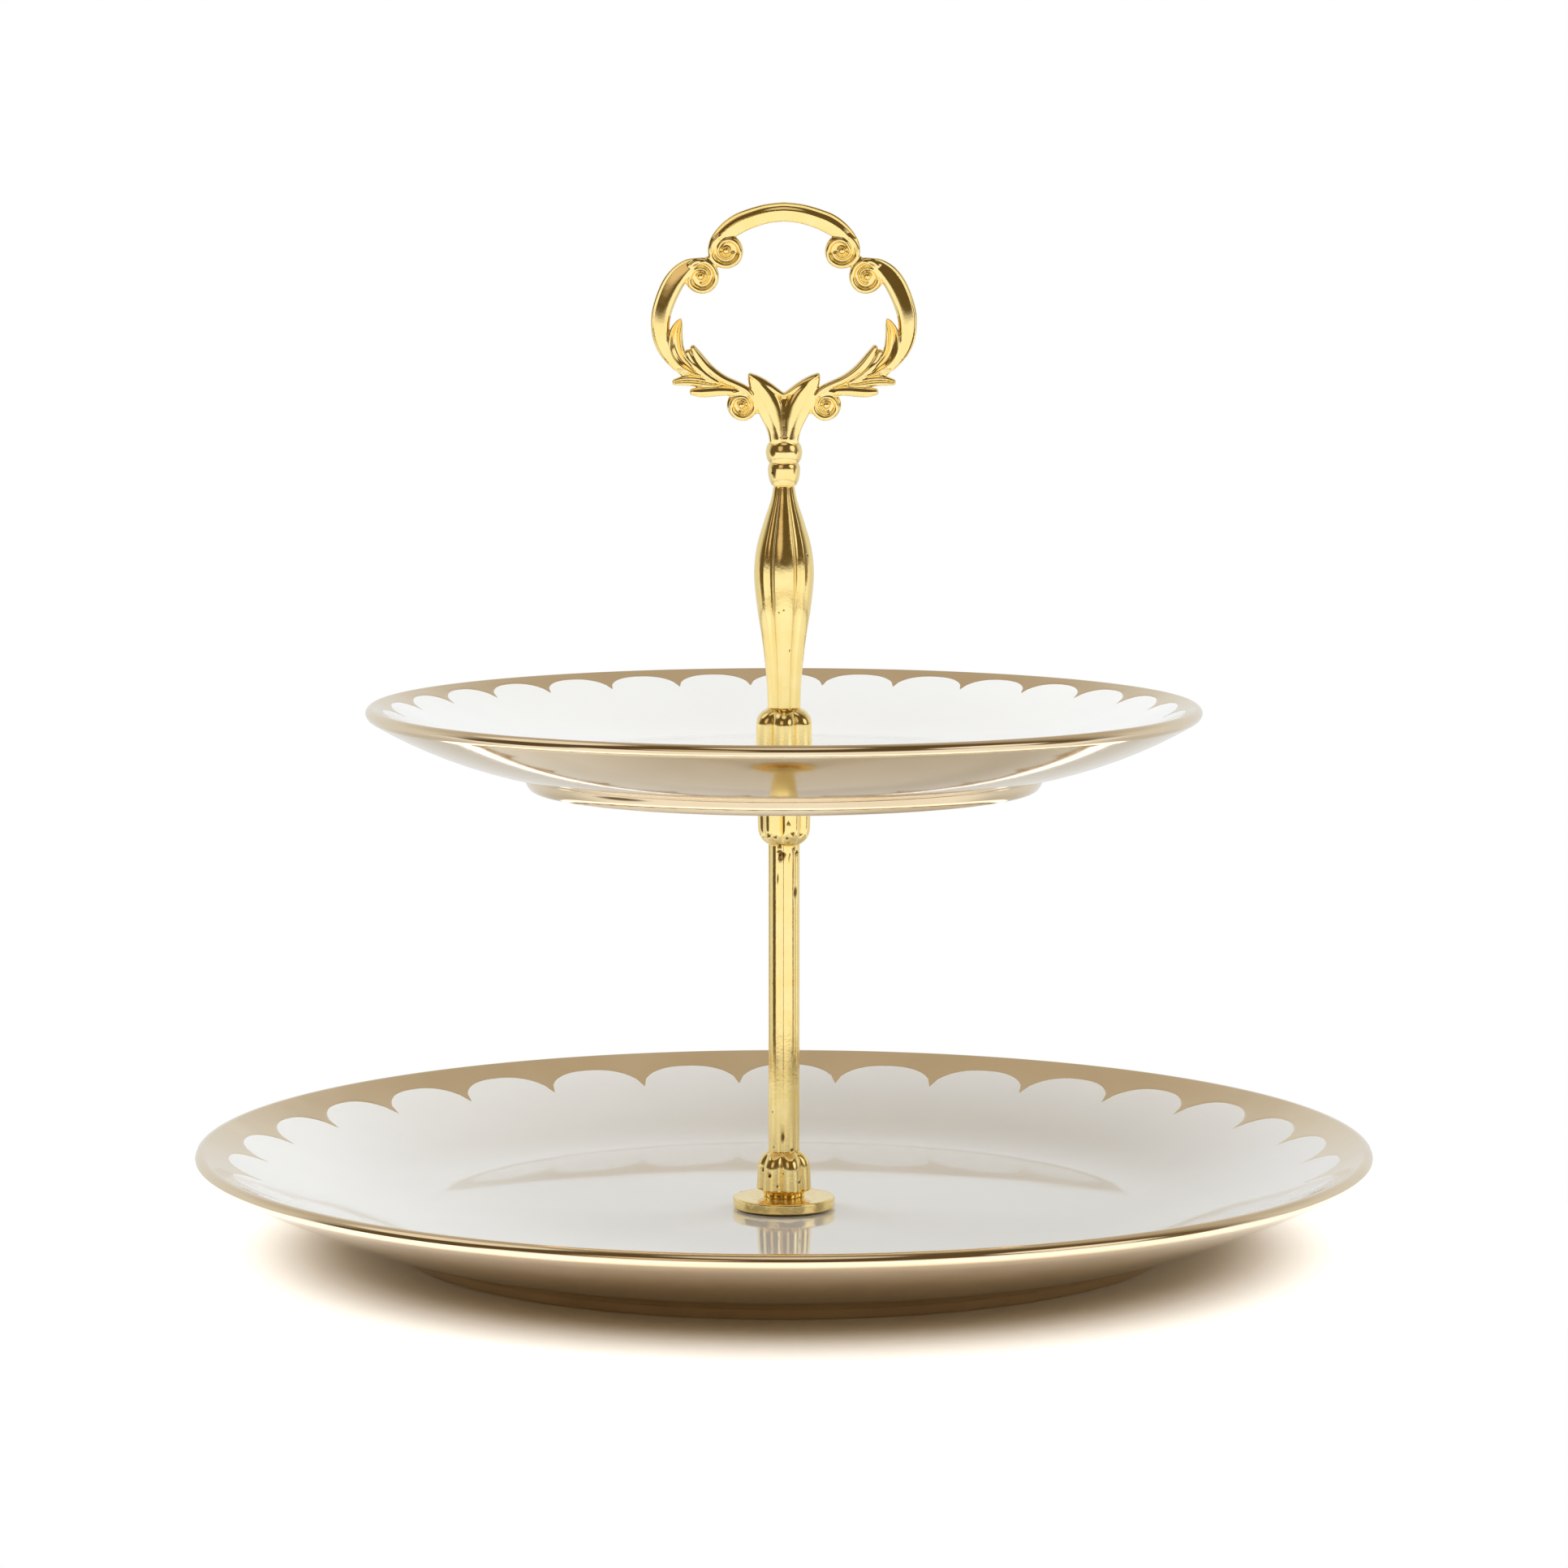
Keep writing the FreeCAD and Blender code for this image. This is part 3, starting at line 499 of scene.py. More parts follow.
# ---------------------------------------------------------------------------------------------
# Turned and reeded castings
# ---------------------------------------------------------------------------------------------
REEDS = 6
REED_DIVISIONS = 32
AROUND = REEDS * REED_DIVISIONS
THETA = np.linspace(0, 2 * math.pi, AROUND, endpoint=False)
THREAD_PITCH = 0.8
THREAD_R = 2.5
THREAD_ROOT_R = 2.08
HOLE_THREAD_R = 2.56
HOLE_THREAD_DEPTH = 0.14
# what lies nearer the axis than this is inside a threaded hole
COLUMN_WALL_R = 2.8
# the holes that the screw and the stud pass through
CLEAR_R = 2.8


def from_reed(turn_deg):
    """The angle from the middle of the nearest reed, with one reed's middle at turn_deg."""
    pitch = 2 * math.pi / REEDS
    return (THETA - math.radians(turn_deg) + pitch / 2) % pitch - pitch / 2


def reeded(outer, valley, turn_deg):
    """Radii of convex reeds that meet in valleys."""
    angle = from_reed(turn_deg)
    half = math.pi / REEDS
    centre = (outer**2 - valley**2) / (2 * (outer - valley * math.cos(half)))
    reed = outer - centre
    return centre * np.cos(angle) + np.sqrt(reed**2 - (centre * np.sin(angle)) ** 2)


def fluted(radius, turn_deg, flute_half_deg=10.5, reed_share=0.75, flute_share=0.25):
    """Radii of broad reeds with a hollow flute between each two: arcs of those shares of the radius."""
    angle = from_reed(turn_deg)
    flute_half = math.radians(flute_half_deg)
    reed_half = math.pi / REEDS - flute_half
    centre = math.cos(reed_half) - math.sqrt(reed_share**2 - math.sin(reed_half) ** 2)
    reed = centre * np.cos(angle) + np.sqrt(reed_share**2 - (centre * np.sin(angle)) ** 2)
    away = np.pi / REEDS - np.abs(angle)
    beyond = math.cos(flute_half) + math.sqrt(flute_share**2 - math.sin(flute_half) ** 2)
    hollow = np.maximum(flute_share**2 - (beyond * np.sin(np.minimum(away, flute_half))) ** 2, 0)
    flute = beyond * np.cos(away) - np.sqrt(hollow)
    return radius * np.where(away < flute_half, flute, reed)


def blend(first, second, width):
    """The larger of two radii, with a soft join."""
    near = np.maximum(width - np.abs(first - second), 0) / width
    return np.maximum(first, second) + near * near * width / 4


def dome(z, start, end):
    """1 below the dome, falling to 0 at its top on a quarter of an ellipse."""
    return math.sqrt(max(0.0, 1 - max(0.0, (z - start) / (end - start)) ** 2))


def thread_crest(z):
    """0 to 1 round a screw thread at height z: 1 along its helix."""
    phase = z / THREAD_PITCH - THETA / (2 * math.pi)
    return np.abs(phase % 1 * 2 - 1)


class Column:
    """A casting or a thread, as rings round the axis that are joined in the order they are added."""

    def __init__(self):
        self.rings = []
        self.pitted = []

    def add(self, z, radius):
        radius = radius + 0 * THETA
        self.rings.append(np.stack([radius * np.cos(THETA), radius * np.sin(THETA), z + 0 * THETA], 1))

    def hole(self, start, end):
        """A threaded hole, as rings from one height to another. The thread fades out at both ends."""
        steps = max(8, round(abs(end - start) / 0.13))
        for z in np.linspace(start, end, steps):
            depth = min(1, abs(z - start) / THREAD_PITCH, abs(z - end) / THREAD_PITCH)
            self.add(z, HOLE_THREAD_R + HOLE_THREAD_DEPTH * thread_crest(z) * depth)

    def pit(self, across, z, wide):
        """A casting pit: across is how far right of the middle it lies, seen from the front."""
        rings = np.array(self.rings)
        radius = np.hypot(rings[:, :, 0], rings[:, :, 1])
        front = rings[:, :, 1] < 0
        dx, dz = rings[:, :, 0] - across, rings[:, :, 2] - z
        bearing = np.arctan2(dz, dx)
        ragged = 1 + 0.28 * np.sin(3 * bearing + 9 * z) + 0.15 * np.sin(5 * bearing + 4 * z)
        far = np.hypot(dx, dz) * ragged / wide
        share = np.clip(1 - far**2, 0, 1) ** 1.5 * front * (radius > COLUMN_WALL_R)
        rings[:, :, :2] *= (1 - 0.45 * wide * share / np.maximum(radius, 1e-6))[:, :, None]
        self.rings = list(rings)
        self.pitted = np.maximum(self.pitted, share.ravel()) if len(self.pitted) else share.ravel()

    def scatter_pits(self, count, low, high, size, seed):
        """Pits all the way round, each turned to the front and back again."""
        draw = random.Random(seed)
        for _ in range(count):
            steps = draw.randrange(AROUND)
            self.turn(2 * math.pi * steps / AROUND)
            self.pit(draw.uniform(-1.5, 1.5), draw.uniform(low, high), draw.uniform(*size))
            self.turn(-2 * math.pi * steps / AROUND)

    def turn(self, angle):
        rings = np.array(self.rings)
        x, y = rings[:, :, 0].copy(), rings[:, :, 1].copy()
        rings[:, :, 0] = x * math.cos(angle) - y * math.sin(angle)
        rings[:, :, 1] = x * math.sin(angle) + y * math.cos(angle)
        self.rings = list(rings)

    def build(self, name, material):
        piece = add_rings(name, np.array(self.rings), [material], False)
        mark_hollows(piece, rounds=10, depth=0.08)
        pitted = np.append(self.pitted, [0, 0]) if len(self.pitted) else np.zeros(len(piece.data.vertices))
        piece.data.attributes.new("pit", "FLOAT", "POINT").data.foreach_set("value", pitted)
        return piece


# turned so that a reed's middle stands this many degrees round from +X
ROD_TURN = -8
HANDLE_TURN = 30
# radii over the reeds and in the valleys between them
SPIGOT = (4.7, 4.1)
COLLAR = (6.25, 4.85)
COLLAR_SMALL = (5.8, 4.5)
FOOT = (6.9, 5.4)
FOOT_SMALL = (6.75, 5.25)
SPIGOT_LENGTH = 1.4
COLLAR_CORE_R = 3.0
SHAFT_R = 3.455
SHAFT_FLUTE_HALF_DEG = 8.0

# the larger pits on the front of the rod: across, height above the rod's foot, half width
ROD_PITS = (
    (-0.37, 13.6, 0.85), (-3.3, 5.6, 0.4), (3.5, 4.0, 0.4), (1.85, 11.1, 0.4),
    (-1.5, 3.1, 0.3), (-3.5, 83.2, 0.5), (-1.9, 82.8, 0.4), (0.7, 82.6, 0.4), (2.0, 83.6, 0.5),
    (-0.8, 79.0, 0.9), (1.4, 78.4, 0.5), (2.6, 70.1, 0.35), (-1.2, 24.0, 0.3), (1.9, 33.0, 0.25),
)


def collar_radius(z, shaft, start, dome_start, end, wide=COLLAR, narrow=COLLAR_SMALL, turn=ROD_TURN):
    """A lobed collar at height z: wide at its start, narrower at its domed end."""
    share = (z - start) / (end - start)
    outer = wide[0] + (narrow[0] - wide[0]) * share
    valley = wide[1] + (narrow[1] - wide[1]) * share
    full = dome(z, dome_start, end) if end > start else dome(-z, -dome_start, -end)
    outer = COLLAR_CORE_R + (outer - COLLAR_CORE_R) * full
    valley = COLLAR_CORE_R + (valley - COLLAR_CORE_R) * full
    return blend(shaft, reeded(outer + 1e-3, valley, turn), 0.35)


def add_rod():
    low, high, _ = low_high("rod")
    collar_low, collar_dome, collar_top = low + SPIGOT_LENGTH, low + 6.6, low + 10.4
    upper_collar, upper_dome, upper_top = high - 15.0, high - 11.2, high - SPIGOT_LENGTH
    low_hole_deep, high_hole_deep = 10.2, 12.0
    coarse, close = 1.6, 0.22
    rod = Column()
    rod.hole(low + low_hole_deep, low + 0.05)
    heights = np.unique(np.round(np.concatenate([
        np.arange(low, collar_top + 2, close),
        np.arange(collar_top + 2, upper_collar - 2, coarse),
        np.arange(upper_collar - 2, high, close),
        [high],
    ]), 4))
    shaft = fluted(SHAFT_R, ROD_TURN, SHAFT_FLUTE_HALF_DEG)
    spigot = reeded(*SPIGOT, ROD_TURN)
    chamfer = 0.25
    for z in heights:
        radius = shaft
        if z < collar_top:
            collar = collar_radius(z, shaft, collar_low, collar_dome, collar_top)
            share = smoothstep(z, collar_low - 0.5, collar_low + 0.35)
            radius = spigot + (collar - spigot) * share
        elif z > upper_collar:
            collar = collar_radius(z, shaft, upper_top, upper_dome, upper_collar)
            share = 1 - smoothstep(z, upper_top - 0.35, upper_top + 0.5)
            radius = spigot + (collar - spigot) * share
        edge = min(1.0, (z - low) / chamfer * 0.5 + 0.5, (high - z) / chamfer * 0.5 + 0.5)
        rod.add(z, radius - chamfer * (1 - edge))
    rod.hole(high - 0.05, high - high_hole_deep)
    for across, z, wide in ROD_PITS:
        rod.pit(across, low + z, wide)
    rod.scatter_pits(9, collar_low, collar_top + 10, (0.2, 0.4), 4)
    rod.scatter_pits(16, collar_top, high, (0.2, 0.35), 9)
    rod.scatter_pits(10, upper_collar - 4, upper_top, (0.3, 0.5), 5)
    piece = rod.build("rod_casting", CAST_GOLD)
    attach(piece, "column")
    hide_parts("rod")


# the stem's outline: height and radius of the fluted grip, then of the beads above it
GRIP = [
    (121.0, 3.72), (127.0, 3.95), (133.0, 4.45), (139.0, 5.25), (145.0, 6.2), (152.0, 6.85),
    (158.0, 6.3), (164.0, 4.6), (169.0, 2.95), (172.4, 2.35),
]
BEADS = [
    (172.0, 2.3), (172.25, 2.75), (173.2, 3.25), (174.6, 3.55), (176.0, 3.62), (176.9, 3.42), (177.15, 3.22),
    (177.45, 3.5), (178.3, 3.9), (179.6, 4.1), (181.0, 3.85), (181.75, 3.4), (181.95, 3.05), (182.15, 3.2),
    (182.5, 3.38), (183.0, 3.3),
]


def add_handle_stem():
    low, _, _ = low_high("handle")
    foot_low, foot_dome, foot_top = low + SPIGOT_LENGTH, low + 7.4, low + 10.95
    beads_low, beads_high = 172.0, 183.3
    hole_deep, chamfer, chamfer_high = 8.95, 0.12, 0.25
    stem = Column()
    stem.hole(low + hole_deep, low + 0.05)
    grip = spline(GRIP)
    beads = spline(BEADS)
    spigot = reeded(*SPIGOT, HANDLE_TURN)
    for z in np.concatenate([np.arange(low, beads_low, 0.24), np.arange(beads_low, beads_high, 0.12)]):
        grip_r = np.interp(z, grip[:, 0], grip[:, 1])
        if z < beads_low:
            radius = fluted(grip_r, HANDLE_TURN)
        else:
            radius = np.interp(z, beads[:, 0], beads[:, 1]) + 0 * THETA
        if z < foot_top:
            foot = collar_radius(z, radius, foot_low, foot_dome, foot_top, FOOT, FOOT_SMALL, HANDLE_TURN)
            share = smoothstep(z, foot_low - 0.5, foot_low + 0.35)
            radius = spigot + (foot - spigot) * share
        stem.add(z, radius - chamfer * max(0.0, 1 - (z - low) / chamfer_high))
    stem.scatter_pits(16, low, low + 60, (0.18, 0.3), 21)
    piece = stem.build("handle_stem", CAST_GOLD)
    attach(piece, "handle")
    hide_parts("handle")


add_rod()
add_handle_stem()


# ---------------------------------------------------------------------------------------------
# Crown of the handle: strokes of a set width and thickness, joined softly
# ---------------------------------------------------------------------------------------------
# the grid's step, how far strokes flow together where they meet, and how far their edges are rounded
CELL = 0.165
JOIN = 0.3
EDGE = 0.45
FAR = 2.0
# reliefs: the share of a stroke's thickness at places across it
ROOF_ARCH = [
    (-1, 0.62), (0.05, 0.965), (0.14, 0.985), (0.24, 0.955), (0.58, 0.79), (0.70, 0.78), (0.80, 0.88),
    (1, 0.86),
]
ROOF_BAND = [(-1, 0.66), (-0.60, 1.0), (0.58, 0.80), (0.70, 0.78), (0.80, 0.88), (1, 0.86)]
CHANNEL = [(-1, 0.88), (-0.70, 0.98), (-0.1, 0.66), (0.5, 0.86), (0.76, 1.0), (1, 0.92)]
GROOVED = [(-1, 0.86), (-0.5, 0.98), (-0.2, 0.92), (0.0, 0.74), (0.2, 0.92), (0.5, 0.98), (1, 0.86)]


class Field:
    """Depth inside the casting on a grid over one quarter of the crown, in millimetres."""

    def __init__(self, x_max, y_max, z_min, z_max):
        self.x = np.arange(0, x_max, CELL)
        self.y = np.arange(0, y_max, CELL)
        self.z = np.arange(z_min, z_max, CELL)
        self.depth = np.full((len(self.x), len(self.y), len(self.z)), -FAR, np.float32)

    def window(self, low_x, high_x, low_z, high_z):
        xs = slice(*np.searchsorted(self.x, (low_x - 1, high_x + 1)))
        zs = slice(*np.searchsorted(self.z, (low_z - 1, high_z + 1)))
        return xs, zs

    def join(self, xs, zs, depth):
        here = self.depth[xs, :, zs]
        near = np.maximum(JOIN - np.abs(here - depth), 0) / JOIN
        self.depth[xs, :, zs] = np.maximum(here, depth) + near * near * JOIN / 4

    def stroke(self, knots, thick, rise=0.5, relief=None, smooth=True):
        """A stroke through knots (x, z, half width). Thick is half its thickness along the middle,
        or that at its (start, end). Its face falls by rise to its edges, or takes the shares of
        the thickness given in relief at places across it, from -1 on its right to 1 on its left."""
        line = spline(knots) if smooth else np.array(knots, float)
        if not isinstance(thick, tuple):
            thick = (thick, thick)
        wide = line[:, 2].max()
        xs, zs = self.window(line[:, 0].min() - wide, line[:, 0].max() + wide,
                             line[:, 1].min() - wide, line[:, 1].max() + wide)
        px, pz = np.meshgrid(self.x[xs], self.z[zs], indexing="ij")
        best = np.full(px.shape, 1e9)
        across, half, along = np.zeros(px.shape), np.ones(px.shape), np.zeros(px.shape)
        total = len(line) - 1
        for index in range(total):
            (ax, az, aw), (bx, bz, bw) = line[index], line[index + 1]
            dx, dz = bx - ax, bz - az
            t = np.clip(((px - ax) * dx + (pz - az) * dz) / (dx * dx + dz * dz + 1e-12), 0, 1)
            ox, oz = px - ax - t * dx, pz - az - t * dz
            width = aw + (bw - aw) * t
            share = np.hypot(ox, oz) / width
            closer = share < best
            best = np.where(closer, share, best)
            across = np.where(closer, np.where(dx * oz - dz * ox > 0, share, -share), across)
            half = np.where(closer, width, half)
            along = np.where(closer, (index + t) / total, along)
        level = thick[0] + (thick[1] - thick[0]) * along
        if relief is None:
            level = level - rise * (1 - np.sqrt(np.clip(1 - across**2, 0, 1)))
        else:
            level = level * np.interp(across, *spline(relief, 8).T)
        self.slab(xs, zs, level, (1 - best) * half)

    def slab(self, xs, zs, level, inside):
        """A plate whose faces stand at a level over each place, with rounded edges."""
        over = level[:, None, :] - self.y[None, :, None]
        inside = inside[:, None, :] + 0 * over
        near = np.maximum(EDGE - np.abs(over - inside), 0) / EDGE
        self.join(xs, zs, np.minimum(over, inside) - near * near * EDGE / 4)

    def ball(self, x, z, radius, thick):
        xs, zs = self.window(x - radius, x + radius, z - radius, z + radius)
        px, py, pz = np.meshgrid(self.x[xs], self.y, self.z[zs], indexing="ij")
        reach = np.sqrt((px - x) ** 2 + (pz - z) ** 2 + np.maximum(py - thick + radius, 0) ** 2)
        self.join(xs, zs, radius - reach)

    def scroll(self, x, z, radius, start_deg, way):
        """A coiled end: its rim starts at an angle from +X, turns anticlockwise where way is 1,
        and winds inwards round a bead."""
        turns = np.linspace(0, 1.6, 80)
        rim = (radius - 0.62, radius - 0.66, radius - 1.15, 1.8, 1.6)
        reach = np.interp(turns, (0, 0.55, 0.75, 1.05, 1.6), rim)
        angle = math.radians(start_deg) + way * turns * 2 * math.pi
        wide = np.interp(turns, (0, 0.6, 1.0, 1.6), (0.66, 0.66, 0.55, 0.36))
        coil = np.column_stack([x + reach * np.cos(angle), z + reach * np.sin(angle), wide])
        self.stroke([(x - 0.01, z, radius - 0.35), (x + 0.01, z, radius - 0.35)], 1.8, 0.0, smooth=False)
        self.stroke(coil, (2.5, 2.3), 0.5, smooth=False)
        self.ball(x, z, 0.85, 2.95)

    def mesh(self):
        """Points and quads of the whole crown, mirrored in X and in Y."""
        quarter = self.depth
        half = np.concatenate([quarter[:, :0:-1], quarter], 1)
        whole = np.concatenate([half[:0:-1], half], 0)
        grid = vdb.FloatGrid(FAR)
        grid.copyFromArray(np.ascontiguousarray(-whole))
        points, quads = grid.convertToQuads(0.0)
        points = points.astype(float) * CELL
        points += np.array([-self.x[-1], -self.y[-1], self.z[0]])
        return points, quads


def crown_field():
    field = Field(30.6, 3.9, 181.6, 236.4)
    stroke = field.stroke
    # arch over the top, and the band down the side
    stroke([
        (-3.0, 233.1, 2.15), (0, 233.25, 2.15), (4, 232.8, 2.15), (8, 231.6, 2.2), (10.6, 230.4, 2.25),
        (13.2, 228.6, 1.95), (15.2, 226.4, 1.5), (16.1, 224.2, 0.8), (15.9, 222.9, 0.6), (14.9, 221.9, 0.5),
    ], 2.5, relief=ROOF_ARCH)
    stroke([
        (17.9, 222.4, 0.7), (19.6, 222.0, 1.0), (21.4, 221.2, 1.55), (23.3, 219.4, 2.15), (25.0, 217.0, 2.35),
        (26.4, 214.0, 2.3), (27.4, 210.8, 2.2), (27.7, 207.8, 2.05), (27.4, 204.9, 1.85), (26.6, 202.3, 1.45),
        (25.3, 200.2, 1.1), (23.8, 198.5, 0.85), (21.8, 197.2, 0.6),
    ], 2.5, relief=ROOF_BAND)
    field.scroll(12.95, 224.7, 4.05, 62, -1)
    field.scroll(18.6, 218.95, 4.05, 45, 1)
    field.scroll(9.5, 190.25, 3.65, 60, 1)
    stroke([(15.0, 221.9, 0.9), (16.3, 222.2, 1.0), (16.9, 222.8, 0.7)], 2.1)
    # hollow leaf inside the band
    stroke([
        (23.2, 209.2, 0.35), (23.7, 208.0, 1.0), (24.2, 206.2, 1.5), (24.3, 204.0, 1.75), (23.9, 202.0, 1.75),
        (22.9, 200.3, 1.55), (21.4, 198.9, 1.2), (19.8, 197.9, 0.9), (18.0, 196.9, 0.5),
    ], 2.75, relief=CHANNEL)
    # second leaf: its upper edge runs as a ribbon down to the calyx
    stroke([
        (20.35, 203.0, 0.65), (19.0, 201.0, 0.95), (17.5, 199.1, 1.05), (16.0, 197.7, 1.0),
        (14.5, 196.6, 0.95), (13.0, 195.75, 0.9), (11.0, 194.9, 0.85), (9.5, 194.2, 0.85),
        (8.2, 193.4, 0.8), (7.2, 192.4, 0.6),
    ], 2.85, 0.65)
    stroke([
        (21.4, 202.0, 0.7), (20.6, 200.3, 1.15), (19.2, 198.5, 1.2), (17.6, 197.0, 1.0), (16.0, 195.9, 0.7),
        (14.6, 195.2, 0.4),
    ], 2.65, 0.7)
    # outward leaves, the lower of which turns into the lower scroll
    stroke([
        (24.35, 195.35, 0.72), (22.6, 195.6, 1.05), (20.5, 195.6, 1.15), (18.5, 195.35, 1.1),
        (16.6, 195.0, 0.8), (14.8, 194.8, 0.4),
    ], 2.45, relief=GROOVED)
    stroke([
        (20.4, 193.15, 0.78), (18.6, 193.05, 1.1), (16.6, 193.15, 1.15), (14.6, 193.3, 1.1),
        (12.6, 193.3, 1.0), (11.0, 193.15, 0.9), (9.6, 193.0, 0.75), (8.2, 192.6, 0.65),
        (7.1, 191.8, 0.55),
    ], 2.45, 0.55)
    # the thin web that joins the leaves
    stroke([
        (22.6, 197.7, 1.0), (20.0, 196.2, 1.5), (17.5, 195.3, 1.9), (14.5, 194.6, 1.7), (11.5, 194.0, 1.3),
        (8.5, 192.3, 1.2),
    ], 1.8, 0.0)
    # calyx: two lobed leaves that part at the top
    stroke([
        (1.7, 182.4, 1.65), (2.0, 184.2, 1.65), (2.6, 186.3, 1.8), (3.75, 189.3, 2.15), (5.1, 192.0, 2.0),
        (6.45, 194.3, 1.35), (7.45, 196.2, 0.7),
    ], (3.3, 2.6), 0.9)
    stroke([
        (0.75, 182.6, 0.5), (1.05, 185.0, 0.9), (1.6, 187.8, 1.4), (2.4, 190.4, 1.8), (3.7, 192.8, 1.7),
        (5.3, 194.8, 1.2), (7.0, 196.4, 0.65),
    ], (3.3, 3.0), 0.9)
    stroke([
        (0.3, 192.5, 0.55), (1.5, 193.2, 0.7), (3.1, 194.35, 0.75), (4.7, 195.4, 0.75), (6.2, 196.2, 0.7),
        (7.6, 196.9, 0.5),
    ], 2.95, 0.5)
    web = [(0, 192.0, 0.9), (0, 190.0, 2.2), (0, 186.0, 2.6), (0, 182.0, 2.9)]
    stroke(web, (2.3, 3.0), 0.5, smooth=False)
    stroke([(6.2, 189.6, 1.4), (6.8, 191.4, 1.1)], 1.9, 0.2, smooth=False)
    return field


def add_crown():
    points, quads = crown_field().mesh()
    edges = np.vstack([quads[:, [0, 1]], quads[:, [1, 2]], quads[:, [2, 3]], quads[:, [3, 0]]])
    points = even_out(points, edges, [0.5, -0.52] * 8)
    crown = add_mesh("handle_crown", points, quads[:, ::-1].tolist(), [CROWN_GOLD])
    mark_hollows(crown, rounds=12, depth=0.25)
    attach(crown, "handle")
    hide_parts("handle")


add_crown()


# ---------------------------------------------------------------------------------------------
# Disc, washers and threaded parts
# ---------------------------------------------------------------------------------------------
def add_turned(node, body, name, slot, material, corners, around, **options):
    """A turned piece that stands for a CAD node."""
    piece = lathe(name, corners, around, [material], **options)
    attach(piece, body)
    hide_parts(node)
    return piece


def add_disc():
    low, high, radius = low_high("base_disc")
    disc = add_turned("base_disc", "disc", "base_disc_casting", "gold_metal", CAST_GOLD, [
        (CLEAR_R, low, 0), (radius - 0.3, low, 0.4), (radius, low + 0.3, 0), (radius, high - 0.4, 0.5),
        (radius - 0.4, high, 0), (CLEAR_R, high, 0),
    ], 224, longest=0.5)
    # shallow dents, as the casting left them
    dents_per_mm, dent_deep = 1.1, 0.06
    for vertex in disc.data.vertices:
        rough = noise.fractal(vertex.co / MM * dents_per_mm, 0.6, 2.0, 3)
        vertex.co += vertex.normal * (dent_deep * min(0.0, rough - 0.15) * MM)
    mark_hollows(disc, rounds=8, depth=0.05)


def add_gasket(node, body):
    """A soft washer, squeezed so that its rim bulges a little."""
    low, high, radius = low_high(node)
    bulge = min(0.12, (high - low) / 4)
    rim = radius - bulge
    add_turned(node, body, f"{node}_ring", "soft_washer", RUBBER, [
        (CLEAR_R, low, 0), (rim, low, (high - low) * 0.75), (rim, high, 0), (CLEAR_R, high, 0),
    ], 128, reach=0.06)


def add_washer():
    low, high, radius = low_high("lower_screw_washer")
    add_turned("lower_screw_washer", "lower_tier", "lower_screw_washer_ring", "steel", STEEL, [
        (2.75, low, 0), (radius - 0.25, low, 0.3), (radius, low + 0.25, 0), (radius, high, 0),
        (2.75, high, 0),
    ], 128, reach=0.05, smooth_angle=40)


def add_thread(name, node, body, low, high, chamfers):
    """A screw thread of 5 mm as one closed mesh, with the given chamfers at its ends."""
    column = Column()
    steps = round((high - low) / 0.1)
    for z in np.linspace(low, high, steps):
        crest = np.clip(thread_crest(z) * 1.25 - 0.1, 0, 1)
        limit = THREAD_R - max(0.0, chamfers[0] - (z - low)) - max(0.0, chamfers[1] - (high - z))
        column.add(z, np.minimum(THREAD_ROOT_R + (THREAD_R - THREAD_ROOT_R) * crest, limit))
    piece = column.build(name, STEEL)
    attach(piece, body)
    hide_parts(node)


def add_screw():
    """A low-head screw with a cross recess."""
    low, high, radius = low_high("lower_screw")
    head_high, side_low, dome_arc = 2.2, 1.5, 9.08
    head_top = low + head_high
    add_thread("lower_screw_thread", "lower_screw", "lower_tier", head_top - 0.4, high, (0, 0.5))
    head = lathe("lower_screw_head", [
        (0.02, head_top, 0), (0.02, low, dome_arc), (radius, low + side_low, 0), (radius, head_top, 0),
    ], 96, [STEEL], reach=0.1, smooth_angle=40)
    recess_long, recess_wide, recess_deep, foot_share = 4.4, 1.0, 1.3, 0.72
    points = []
    arm, half = recess_long / 2, recess_wide / 2
    plan = [
        (arm, -half), (arm, half), (half, half), (half, arm), (-half, arm), (-half, half), (-arm, half),
        (-arm, -half), (-half, -half), (-half, -arm), (half, -arm), (half, -half),
    ]
    for z, share in ((low - 0.5, 1.0), (low + recess_deep, foot_share)):
        points += [(x * share, y * share, z) for x, y in plan]
    count = len(plan)
    faces = [tuple(range(count))[::-1], tuple(range(count, 2 * count))]
    faces += [(k, (k + 1) % count, (k + 1) % count + count, k + count) for k in range(count)]
    cutter = add_mesh("recess_cutter", points, faces, [STEEL])
    cut = head.modifiers.new("cross_recess", "BOOLEAN")
    cut.object = cutter
    cut.operation = "DIFFERENCE"
    bpy.context.view_layer.update()
    cut_mesh = bpy.data.meshes.new_from_object(head.evaluated_get(bpy.context.evaluated_depsgraph_get()))
    head.modifiers.clear()
    head.data = cut_mesh
    bpy.data.objects.remove(cutter)
    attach(head, "lower_tier")
    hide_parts("lower_screw")


add_disc()
add_gasket("lower_plate_gasket_under", "lower_tier")
add_gasket("lower_plate_gasket_over", "lower_tier")
add_gasket("upper_plate_gasket_under", "column")
add_gasket("upper_plate_gasket_over", "handle_washer")
add_washer()
add_screw()
stud_low, stud_high, _ = low_high("upper_stud")
add_thread("upper_stud_thread", "upper_stud", "column", stud_low, stud_high, (0.5, 0.5))


# ---------------------------------------------------------------------------------------------
# Floor, light and camera
# ---------------------------------------------------------------------------------------------
FLOOR_R = 190.0
# the table's glow begins and is full at these distances from the axis, in metres
GLOW_START, GLOW_FULL = 0.097, 0.138
